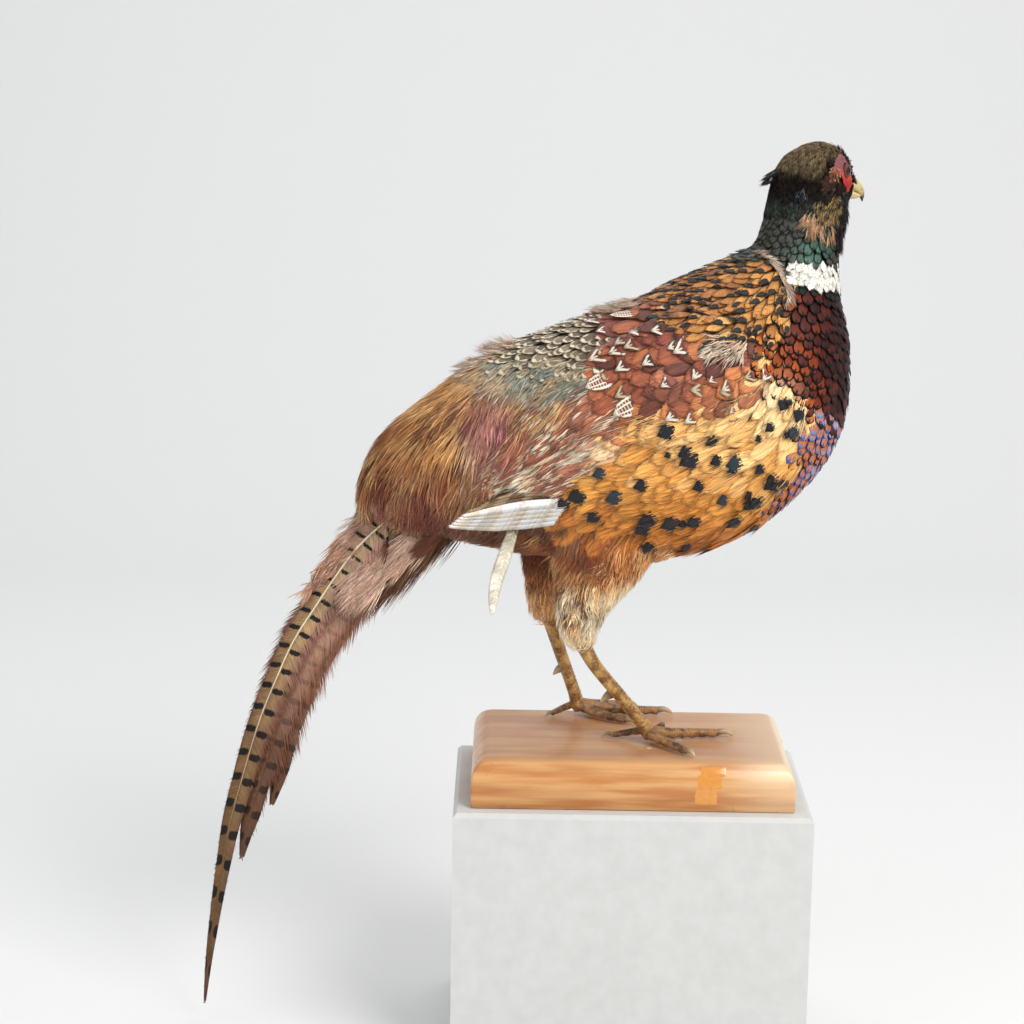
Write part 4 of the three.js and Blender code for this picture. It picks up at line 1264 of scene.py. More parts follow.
def thighs():
    def thigh(p):
        return (p[:, 2] < 184) & (p[:, 0] > -82) & (p[:, 0] < 34)

    roots, normals = outside.scatter(4.3, thigh)
    locks = [noise.noise(Vector(root / (7, 7, 20))) for root in roots]
    tone = smooth(roots[:, 2], 174, 142) * 0.9 + 0.3 * rng.random(len(roots)) + 0.5 * np.array(locks)
    front = 0.35 * smooth(roots[:, 0], -30, 10) * smooth(roots[:, 2], 120, 150)
    # painted shade: the far thigh's feathers are darker because that thigh lies in shadow
    far_side_painted_shade = 0.5 * smooth(roots[:, 1], 10, 25)
    brown = shade(("#7a3814", "#ae6430", "#e2a668", "#ffdaa2", "#fff0d0"), tone + front - far_side_painted_shade)
    plant("thigh_feathers", "floss", (20, 5.5), "soft", "thigh_plumage", roots, normals, brown,
          depth=3, lift=2.2, turn=0.25, cling=0.7)  # fmt: skip


skin()
for tract_name in TRACTS:
    grow_tract(tract_name)
single_marks()
fluff()
neck_feathers()
head_feathers()
thighs()

# ---- quills: the tail, the pale flight feathers and the loose one -----------------------------

TAIL_LINE = [
    (-171, 12, 181), (-191, 12, 163), (-208, 11, 144), (-223, 10, 124), (-240, 8, 97),
    (-252, 6, 70), (-262, 4, 45), (-270, 3, 20), (-277, 2, -5), (-285, 1, -35), (-290, 0, -64),
    (-294, 0, -88), (-298, 0, -115), (-302, 0, -145), (-305, 0, -176.5),
]  # fmt: skip
TAIL_TWIST = 55.0  # degrees: the tail's upper face leans to the bird's right
LAYER = 1.9  # from one tail feather's plane to the next one's
# name: offset to the right at root and tip, half width, share of the line, taper
TAIL_FEATHERS = {
    "centre_left": (0, 0, 12, 1, 0.6),
    "centre_right": (18, 14, 14, 0.7, 0.3),
    "second_left": (-2, -5, 12, 0.58, 0.4),
    "second_right": (13, 27, 12, 0.58, 0.25),
    "third_left": (-6, -8, 12, 0.45, 0.4),
    "third_right": (18, 22, 13, 0.5, 0.35),
    "outer_left": (-8, -9, 12, 0.33, 0.4),
    "outer_right": (20, 20, 13, 0.36, 0.4),
}


class Line:
    """A smooth line with a frame at each share of its length."""

    def __init__(self, points, face):
        fine = spline(points, np.linspace(0, len(points) - 1, 400))
        gaps = np.linalg.norm(np.diff(fine, axis=0), axis=1)
        run = np.concatenate([[0], np.cumsum(gaps)])
        self.length = run[-1]
        self.points = np.stack(
            [np.interp(np.linspace(0, run[-1], 400), run, fine[:, k]) for k in range(3)], -1)
        self.ahead = unit(np.gradient(self.points, axis=0))
        self.face = face(self.ahead)
        self.right = unit(np.cross(self.face, self.ahead))

    def at(self, share):
        """The point, face and right at shares of the length, going straight on past the end."""
        place = np.clip(share, 0, 1) * 399
        i = np.minimum(place.astype(int), 398)
        t = (place - i)[..., None]
        point, face, right, ahead = (
            a[i] * (1 - t) + a[i + 1] * t for a in (self.points, self.face, self.right, self.ahead))
        beyond = (share - np.clip(share, 0, 1))[..., None] * self.length
        return point + ahead * beyond, unit(face), unit(right)


def twisted(degrees):
    """The upper face of a tail that runs along the bird, turned about its own line."""
    def face(ahead):
        upper = unit(np.cross(np.array([0.0, 1.0, 0.0]), ahead))
        a = math.radians(-degrees)
        return unit(upper * math.cos(a) + np.cross(ahead, upper) * math.sin(a))
    return face


def web(widths, length, start, firm):
    """The closed part of a vane: a thin solid under the barbs, out to firm of their reach."""
    s = np.linspace(start * length, length * 0.99, 70)
    left, right = widths(s / length)
    u = np.linspace(-1, 1, 9)
    reach = np.where(u[None] < 0, np.minimum(left, firm)[:, None], np.minimum(right, firm)[:, None])
    x = u[None] * reach * 0.9
    y = np.minimum(s[:, None] + 0.45 * np.abs(x), length)
    ring = len(u) + 1
    xy = np.stack([np.hstack([x, 0 * x[:, :1]]), np.hstack([y, s[:, None]])], -1)
    up = np.hstack([0.1 * (1 - u[None] ** 2) + 0 * x, 0 * x[:, :1] - 0.12])
    k = np.arange(ring)
    n = (k + 1) % ring
    tris = [np.stack([k[:-2], k[:-2] + 1, np.full(ring - 2, ring - 1)], -1)]
    for r in range(len(s) - 1):
        a, b = r * ring + k, r * ring + n
        tris += [np.stack([a, a + ring, b], -1), np.stack([b, a + ring, b + ring], -1)]
    end = (len(s) - 1) * ring
    tris.append(end + np.stack([k[:-2] + 1, k[:-2], np.full(ring - 2, ring - 1)], -1))
    return {"xy": xy.reshape(-1, 2), "up": up.ravel(), "tris": np.concatenate(tris)[:, ::-1],
            "strand": np.full(len(s) * ring, 0.5)}  # fmt: skip


def quill(line, reach, half, widths, colours, offset=(0, 0), down=0.0, spacing=0.75, barb=0.45,
          slant=0.75, start=0.0, loose=0.05, shaft=0.9, camber=0.006, firm=99.0,
          pale_shaft=True, rise=0.0):  # fmt: skip
    """A flight feather along a line: a shaft, and barbs on both sides of it.
    widths(share) gives the left and right widths in mm; colours(share, x) the two colours."""
    length = line.length * reach
    parts = []
    for side in (-1, 1):
        root = np.arange(start * length, length * 0.995, spacing)
        root = root + 0.3 * spacing * rng.normal(size=len(root))
        pick = 0 if side < 0 else 1
        first = widths(np.clip(root / length, 0, 1))[pick]
        ends = np.clip((root + slant * first) / length, 0, 1)
        out = widths(ends)[pick] * (1 + loose * rng.normal(size=len(root)))
        out = np.maximum(out, 0.6)
        q = np.linspace(0, 1, 5)[None]
        x = side * out[:, None] * q**0.92
        y = root[:, None] + slant * out[:, None] * q**1.25
        y = np.minimum(y, length * (1 + 0.01 * rng.random((len(root), 1))))
        wide = barb * (1 - 0.55 * q) * np.ones((len(root), 1))
        made = blades(np.stack([x, y], -1), wide, 0.22, 0.25 * rng.random(len(root)),
                      rng.random(len(root)))  # fmt: skip
        parts.append(made)
    parts.append(web(widths, length, start, firm))
    s = np.linspace(start * length, length * 0.985, 60)
    thick = shaft * (1 - 0.8 * s / length)
    path = np.stack([0 * s, s], -1)[None]
    stem = blades(path, thick[None], shaft, [0.12], np.array([0.5]))
    stem["up"][1:-1:3] = (thick * 1.1)[:-1] + 0.2
    shafts = np.concatenate([np.zeros(sum(len(m["up"]) for m in parts)), np.ones(len(stem["up"]))])
    parts.append(stem)
    offsets = np.cumsum([0] + [len(m["up"]) for m in parts[:-1]])
    flat = {k: np.concatenate([m[k] for m in parts]) for k in ("xy", "up", "strand")}
    tris = np.concatenate([m["tris"] + o for m, o in zip(parts, offsets)])
    x, y = flat["xy"].T
    share = y / length
    point, face, right = line.at(share * reach)
    sideways = offset[0] + (offset[1] - offset[0]) * share
    spots = point + right * (sideways + x)[:, None]
    raised = rise * smooth(share * reach, 0.22, 0.0) - down
    spots = spots + face * (flat["up"] - camber * x**2 + raised)[:, None]
    ground, mark = colours(share, np.where(shafts > 0, 0.0, x))
    if pale_shaft:
        fade = smooth(share * reach, 0.2, 0.75)[:, None]
        ground = np.where(shafts[:, None] > 0, hue("#efe2c4") * (1 - fade) + ground * fade, ground)
    return {
        "points": spots,
        "tris": tris,
        "each": (len(spots), len(tris)),
        "vane": np.stack([x, y, shafts], -1), "strand": flat["strand"],
        "ground": ground, "mark": mark,
        "patch": np.stack([0.5 + 0.49 * x / (1.2 * half), 0.005 + 0.98 * share.clip(0, 1.01)], -1),
    }  # fmt: skip


def quill_paint(name, bars, rough=0.55, stripes=1.1):
    """Quill colours: vane holds the millimetres across and along, and 1 on the shaft."""
    p = Paint(name)
    x, y, shaft = p.parts(p.stored("vane").outputs["Vector"])
    strand = p.stored("strand").outputs["Fac"]
    ground = p.stored("ground").outputs["Color"]
    mark = p.stored("mark").outputs["Color"]
    off_shaft = p.math("SUBTRACT", 1.0, shaft)
    colour = p.mix(p.both(bars(p, x, y), off_shaft), ground, mark)
    slant = p.math("SUBTRACT", y, p.both(p.math("ABSOLUTE", x), 0.8))
    fine = p.noise(p.vector(p.both(x, 0.12), p.both(slant, stripes), 3.0), 1.0, 2.0)
    broad = p.noise(p.vector(p.both(x, 0.1), p.both(y, 0.05), 7.0), 1.0, 2.0)
    light = p.math("ADD", p.scale(fine, 0.3, 0.7, 0.8, 1.2), p.scale(strand, 0.0, 1.0, -0.14, 0.14))
    light = p.both(light, p.scale(broad, 0.3, 0.7, 0.85, 1.15))
    colour = p.mix(1.0, colour, p.vector(light, light, light), "MULTIPLY")
    return p.finish(colour, rough, p.bump(fine, 0.3, 0.0003), Specular_IOR_Level=0.35)


def tail_bars(p, x, y):
    """Dark bars across the vanes, further apart and broader towards the tip."""
    right = p.math("GREATER_THAN", x, 0.0)
    away = p.math("ABSOLUTE", x)
    wave = p.noise(p.vector(p.both(x, 0.5), p.both(y, 0.1), 1.0), 1.0, 2.0)
    jag = p.noise(p.vector(p.both(x, 2.2), p.both(y, 0.02), 5.0), 1.0, 1.0)
    s = p.math("ADD", y, p.both(p.math("SUBTRACT", 1.0, right), p.math("SUBTRACT", 3.6, p.both(away, 0.35))))
    s = p.math("ADD", s, p.both(right, p.both(away, 0.18)))
    s = p.math("ADD", s, p.math("ADD", p.both(wave, 2.0), p.both(jag, 2.4)))
    turn = p.math("SUBTRACT", p.both(s, 0.0837), p.both(p.both(s, s), 0.0000723))
    off = p.math("ABSOLUTE", p.math("SUBTRACT", p.math("FRACT", p.math("ADD", turn, 0.5)), 0.5))
    wide = p.scale(y, 20.0, 330.0, 0.11, 0.19)
    ends = p.math("ABSOLUTE", p.both(p.math("SUBTRACT", away, 5.4), 0.2))
    blunt = p.math("SUBTRACT", 1.0, p.math("POWER", ends, 5.0))
    wide = p.both(wide, p.math("MAXIMUM", blunt, 0.0))
    bar = p.math("SUBTRACT", 1.0, p.rise(p.math("SUBTRACT", off, wide), -0.03, 0.02))
    inner = p.both(p.rise(away, 0.7, 1.4), p.math("SUBTRACT", 1.0, p.rise(away, 9.8, 10.6)))
    smear = p.math("SUBTRACT", 1.0, p.rise(p.math("SUBTRACT", off, 0.1), -0.04, 0.06))
    outer = p.both(p.rise(away, 9.8, 10.6), p.scale(away, 10.0, 17.0, 0.5, 0.0))
    return p.either(p.both(bar, inner), p.both(smear, outer))


def faint_bars(p, x, y):
    wave = p.noise(p.vector(p.both(x, 0.3), p.both(y, 0.1), 1.0), 1.0, 2.0)
    turn = p.math("ADD", p.both(y, 0.055), p.both(wave, 1.6))
    off = p.math("ABSOLUTE", p.math("SUBTRACT", p.math("FRACT", turn), 0.5))
    return p.both(p.math("SUBTRACT", 1.0, p.rise(off, 0.02, 0.3)), 0.5)


TAIL_PAINT = quill_paint("tail_quill", tail_bars)
PALE_PAINT = quill_paint("pale_quill", faint_bars, 0.6)


def tail():
    line = Line(TAIL_LINE, twisted(TAIL_TWIST))
    for layer, (name, (start, end, half, reach, taper)) in enumerate(TAIL_FEATHERS.items()):
        centre = name == "centre_left"

        def widths(share):
            full = half * np.minimum(1, (1.02 - share) / taper) ** 0.75
            fringe = 6.0 * smooth(share, 0.75, 0.3) if centre else 0.0
            return full, full + fringe

        def colours(share, x):
            run = share * reach
            inner = shade(("#ccb08a", "#b8986e", "#92704c", "#806044", "#644832"), run)
            rim = shade(("#c49484", "#b08070", "#84543c", "#7c5434", "#5a3a28"), run)
            left = shade(("#bc9880", "#a8865e", "#8c6a46", "#84603a", "#6a4830"), run)
            share_out = smooth(np.abs(x), 6, 12)[:, None]
            ground = np.where(x[:, None] > 0, inner, left) * (1 - share_out) + rim * share_out
            rust = smooth(-x, half * 0.7, half)[:, None] * smooth(share, 0.1, 0.3)[:, None]
            ground = ground * (1 - rust) + hue("#8a4a26") * rust
            if not centre:
                pink = shade(("#d0a898", "#a87a68", "#6c4434", "#60402c", "#583a28"), run)
                edge = smooth(x, half * 0.75, half)[:, None]
                ground = 0.2 * ground + 0.8 * pink
                ground = ground * (1 - edge) + hue("#a0603a") * edge
                mark = ground * (0.72 - 0.5 * smooth(run, 0.3, 0.6)[:, None])
                return ground, mark
            return ground, np.tile(hue("#1e1612"), (len(x), 1))

        made = quill(line, reach, half, widths, colours, (start, end), layer * LAYER,
                     loose=0.08 if centre else 0.16, slant=0.75 if centre else 1.4,
                     start=0.0 if centre else 0.05, firm=11.0 if centre else 9.0,
                     shaft=1.0 if centre else 0.3, pale_shaft=centre,
                     rise=11.0 if centre else 0.0)  # fmt: skip
        coat(f"tail_{name}_quill", [made], TAIL_PAINT, "tail_feathers", [f"tail_{name}"])


def tail_base():
    """Long soft plumes from the rump over the root of the tail, and fine hairs along it."""
    line = Line(TAIL_LINE, twisted(TAIL_TWIST))
    for name, codes, lifts, span, low, high, count in (
        ("tail_base_plumes", ("#c09880", "#dcb8a0", "#ecd0bc"), (5.5, 1), (32, 5.0), -0.06, 0.1, 140),
        ("rump_fringe", ("#5e2e1a", "#84492c", "#a87048"), (5.0, 2), (24, 4.0), -0.1, -0.05, 24),
        ("tail_under_plumes", ("#5c3824", "#8c5c3c", "#b08460"), (-3, 1), (38, 6.0), -0.12, 0.05,
         170),
    ):  # fmt: skip
        share = low + (high - low) * rng.random(count)
        aside = rng.uniform(-16, 33, count)
        if name == "rump_fringe":
            aside = np.abs(aside) * 0.16 + 28
        if name == "tail_under_plumes":
            aside = 0.7 * aside + 12
        share = np.where((aside < 10) & (share > 0), 0.25 * share, share)
        point, face, right = line.at(share)
        ahead = unit(line.at(share + 0.06)[0] - point)
        roots = point + right * aside[:, None] + face * lifts[0]
        if name == "tail_under_plumes":
            roots = roots - face * 11 * rng.random((count, 1))
        lean = unit(ahead + right * (0.004 * (aside - 8))[:, None])
        tone = shade(codes, rng.random(count))
        plant(name, "floss", span, "soft", "rump_plumage", roots, face * np.sign(lifts[0]), tone,
              depth=2, lift=lifts[1], turn=0.07, cling=0, lies=lean)  # fmt: skip


def pale_quills():
    browns = [("#5a3a28", "#a08468"), ("#6a4630", "#c8b490"), ("#4c3226", "#8c6c50")]
    for side, sign in (("right", -1), ("left", 1)):
        batches = []
        for i in range(8):
            pale = i > 2
            drop = 3.2 * (i - 3) if pale else 2.2 * i - 8.5
            line = Line(
                [(-42 - 2 * i, BIRD_Y + sign * (61.5 - 0.5 * i), 213 - drop),
                 (-84, BIRD_Y + sign * (60.5 - 0.5 * i), 209 - drop),
                 (-114 - 2.2 * i, BIRD_Y + sign * (56.5 - 0.4 * i), 200.0 - 0.6 * drop)],
                lambda ahead: unit(np.cross(ahead, np.array([0.0, 0.0, 1.0])) * -sign))  # fmt: skip

            def widths(share):
                full = np.minimum(1, (1.03 - share) / 0.45) ** 0.6 * (5.0 if pale else 1.6)
                return full, full

            def colours(share, x):
                tone = 0.5 + 0.5 * np.sin(share * 5 + 2 * i)
                codes = ("#faf2e2", "#fffcf6", "#ffffff") if pale else browns[i]
                return shade(codes, tone), np.tile(hue("#d0b48c"), (len(x), 1))

            batches.append(quill(line, 1.0, 6, widths, colours, slant=1.3, spacing=0.7, barb=0.5,
                                 loose=0.02, shaft=0.6))  # fmt: skip
        coat(f"wing_{side}_pale_quills", batches, PALE_PAINT, "pale_quills",
             [f"wing_{side}_primaries"])  # fmt: skip
    line = Line([(-84, -31, 190), (-90, -32, 170), (-96, -33, 150), (-99, -33, 128)],
                lambda ahead: np.tile([0.0, -1.0, 0.0], (len(ahead), 1)))  # fmt: skip

    def widths(share):
        full = np.sin(np.clip(share * 0.86 + 0.14, 0, 1) * np.pi) ** 0.5
        return 6.5 * full, 4.0 * full

    def colours(share, x):
        return shade(("#ece2cc", "#fffaee"), share), np.tile(hue("#d8ccb4"), (len(x), 1))

    made = quill(line, 1.0, 7, widths, colours, slant=0.7, spacing=0.7, loose=0.04, shaft=0.6)
    coat("loose_feather_quill", [made], PALE_PAINT, "pale_quills", ["loose_feather"])


tail()
tail_base()
pale_quills()

# ---- bare parts: bill, eyes, wattles, legs and claws ------------------------------------------


def tube(points, radii, sides=24, rings=40, flat=1.0, up=(0, 0, 1), relief=None):
    """A closed bar along points. relief(run in mm, angle) adds to its radius.
    Gives points, triangles, and the run and angle at each point."""
    places = np.linspace(0, len(points) - 1, rings)
    at = spline(points, places)
    ahead = unit(np.gradient(at, axis=0))
    side = unit(np.cross(ahead, np.array(up, float)))
    top = np.cross(side, ahead)
    radius = spline([[r] for r in radii], places * (len(radii) - 1) / (len(points) - 1))[:, 0]
    run = np.concatenate([[0], np.cumsum(np.linalg.norm(np.diff(at, axis=0), axis=1))])
    angle = np.arange(sides) * 2 * np.pi / sides
    run, angle = np.meshgrid(run, angle, indexing="ij")
    reach = radius[:, None] + (relief(run, angle) if relief else 0)
    grid = (at[:, None] + side[:, None] * (reach * flat * np.cos(angle))[..., None]
            + top[:, None] * (reach * np.sin(angle))[..., None])  # fmt: skip
    tris = []
    k = np.arange(sides)
    n = (k + 1) % sides
    for r in range(rings - 1):
        a, b = r * sides + k, r * sides + n
        tris += [np.stack([a, a + sides, b], -1), np.stack([b, a + sides, b + sides], -1)]
    first, last = rings * sides, rings * sides + 1
    end = (rings - 1) * sides
    tris += [np.stack([k, n, np.full(sides, first)], -1),
             np.stack([end + n, end + k, np.full(sides, last)], -1)]  # fmt: skip
    spots = np.vstack([grid.reshape(-1, 3), at[0], at[-1]])
    run = np.append(run.ravel(), [0, run.max()])
    angle = np.append(angle.ravel(), [0, 0])
    return {"points": spots, "tris": np.concatenate(tris)[:, ::-1], "run": run, "angle": angle}


def bare(name, tubes, material, replaced):
    """One piece from several closed bars; vane holds run, angle and which bar."""
    offsets = np.cumsum([0] + [len(t["points"]) for t in tubes[:-1]])
    obj = mesh_object(name, np.concatenate([t["points"] for t in tubes]),
                      np.concatenate([t["tris"] + o for t, o in zip(tubes, offsets)]))  # fmt: skip
    which = np.concatenate([np.full(len(t["run"]), i) for i, t in enumerate(tubes)])
    run = np.concatenate([t["run"] for t in tubes])
    angle = np.concatenate([t["angle"] for t in tubes])
    put(obj.data, "vane", "FLOAT_VECTOR", np.stack([run, np.cos(angle), which], -1))
    obj.data.materials.append(material)
    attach(obj, "root")
    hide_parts(*replaced)
    return obj


def leg_paint(name, pitch, low, high, line):
    """Varnished leg skin: plates across the front and small scales round the back."""
    p = Paint(name)
    run, turn, _ = p.parts(p.stored("vane").outputs["Vector"])
    place = p.place()
    plate = p.math("FRACT", p.both(run, 1 / pitch))
    seam = p.math("SUBTRACT", 1.0, p.rise(plate, 0.0, 0.22))
    cells = p.cells(place, 620.0, "DISTANCE_TO_EDGE")
    crack = p.math("SUBTRACT", 1.0, p.rise(cells, 0.02, 0.14))
    front = p.rise(turn, -0.2, 0.3)
    gap = p.either(p.both(crack, p.math("SUBTRACT", 1.0, p.both(front, 0.6))),
                   p.both(seam, p.both(front, 0.7)))  # fmt: skip
    cloud = p.noise(place, 130.0, 4.0)
    tint = p.mix(p.rise(cloud, 0.38, 0.62), low, high)
    glint = p.rise(p.noise(place, 900.0, 2.0), 0.6, 0.7)
    tint = p.mix(p.both(glint, 0.45), tint, "#e3c98c")
    colour = p.mix(p.both(gap, 0.5), tint, line)
    height = p.math("SUBTRACT", p.both(cloud, 0.5), gap)
    rough = p.scale(cloud, 0.3, 0.7, 0.22, 0.42)
    return p.finish(colour, rough, p.bump(height, 0.7, 0.0006), Specular_IOR_Level=0.6)


LEG_POINTS = {
    "right": {
        "shank": [(-37, -19.5, 108), (-27, -19.5, 90), (-7, -20, 66), (6, -20, 50), (11, -20, 43)],
        "spur": [(-14, -18.3, 69.5), (-21, -16, 64), (-25.5, -14, 57)],
        "middle": [(8, -20, 43.5), (27, -15, 40), (45, -9, 38.5), (62, -6, 37.9)],
        "outer": [(9, -20, 43), (19, -30, 39.8), (29, -41, 38.4), (37, -50, 37.6)],
        "inner": [(9, -19, 43), (17, -9, 39.6), (21, 2, 38.2), (23, 10, 37.5)],
        "hind": [(10, -20, 43.5), (0, -14, 40), (-8, -12, 38), (-14, -11, 36.9)],
    },
    "left": {
        "shank": [(-59.5, 43.5, 112), (-52, 44, 88), (-45, 45, 68), (-39, 46, 51), (-37, 47, 43)],
        "spur": [(-47.5, 44, 71), (-54, 42.5, 67.5), (-57, 41.5, 60.5)],
        "middle": [(-39, 47, 43.5), (-18, 47, 40), (2, 47.5, 38.6), (22, 49, 37.9)],
        "outer": [(-38, 48, 43), (-25, 57, 39.8), (-12, 62, 38.4), (0, 64, 37.6)],
        "inner": [(-38, 46, 43), (-26, 38, 39.6), (-13, 30, 38.2), (-2, 24, 37.5)],
        "hind": [(-37, 47, 43.5), (-45, 47, 40), (-51, 44, 38), (-55, 41, 36.9)],
    },
}  # fmt: skip
TOE_RADII = {"middle": 3.7, "outer": 3.4, "inner": 3.3, "hind": 2.5}
CLAW_LENGTH = {"middle": 11, "outer": 8.5, "inner": 9, "hind": 6}
BASE_TOP = 34.0


def legs():
    shank_paint = leg_paint("shank_skin", 2.9, "#8a5c2a", "#d8a85c", "#4a2e16")
    toe_paint = leg_paint("toe_skin", 1.9, "#5e3c20", "#ac7c48", "#24160c")
    p = Paint("claw_horn")
    run, _, _ = p.parts(p.stored("vane").outputs["Vector"])
    tint = p.mix(p.scale(run, 0.0, 9.0, 0.0, 1.0), "#5c4630", "#c4ac86")
    claw_paint = p.finish(tint, 0.35, p.bump(p.noise(p.place((1, 1, 5)), 300.0), 0.3, 0.0004))

    def plates(pitch, rise):
        def relief(run, angle):
            step = 1 - (run / pitch) % 1
            return rise * step**2 * smooth(np.cos(angle), -0.6, 0.2)
        return relief

    for side, points in LEG_POINTS.items():
        shank = tube(points["shank"], [6.9, 5.7, 5.4, 5.6, 6.4], 36, 170, 0.82, (0, 1, 0),
                     plates(2.9, 0.5))  # fmt: skip
        knuckle = tube([points["shank"][-1], np.add(points["shank"][-1], (1.5, 0, -5.5))],
                       [6.2, 3.5], 24, 10, 0.95, (0, 1, 0))  # fmt: skip
        root, middle, end = (np.array(q) for q in points["spur"])
        spur = tube([root, root * 0.4 + middle * 0.6, middle * 0.7 + end * 0.3], [3.9, 2.6, 0.5], 16, 20)
        bare(f"shank_{side}_skin", [shank, knuckle], shank_paint, [f"shank_{side}"])
        bare(f"spur_{side}_horn", [spur], claw_paint, [f"spur_{side}"])
        toes, claws = [], []
        for name, radius in TOE_RADII.items():
            line = np.array(points[name], float)
            lumps = plates(1.9, 0.32)

            def relief(run, angle):
                pads = 0.09 * radius * np.cos(run / 7.5 * 2 * np.pi) * smooth(-np.sin(angle), -0.3, 1)
                return lumps(run, np.pi / 2 - angle) + pads
            toes.append(tube(line, [radius * 1.12, radius * 0.98, radius * 0.85, radius * 0.74],
                             20, 110, 1.0, (0, 0, 1), relief))  # fmt: skip
            end, reach = line[-1], CLAW_LENGTH[name] + 0.3
            ahead = unit((line[-1] - line[-2]) * (1, 1, 0))
            claw = [end + ahead * share * reach + (0, 0, up) for share, up in
                    ((-0.12, 0.3), (0.4, 0.9), (0.78, -0.6), (1.0, BASE_TOP + 0.8 - end[2]))]  # fmt: skip
            claws.append(tube(claw, [radius * 0.66, radius * 0.56, radius * 0.36, 0.25], 16, 24))
        names = list(TOE_RADII)
        bare(f"toes_{side}_skin", toes, toe_paint, [f"toe_{side}_{n}" for n in names])
        bare(f"claws_{side}_horn", claws, claw_paint, [f"claw_{side}_{n}" for n in names])


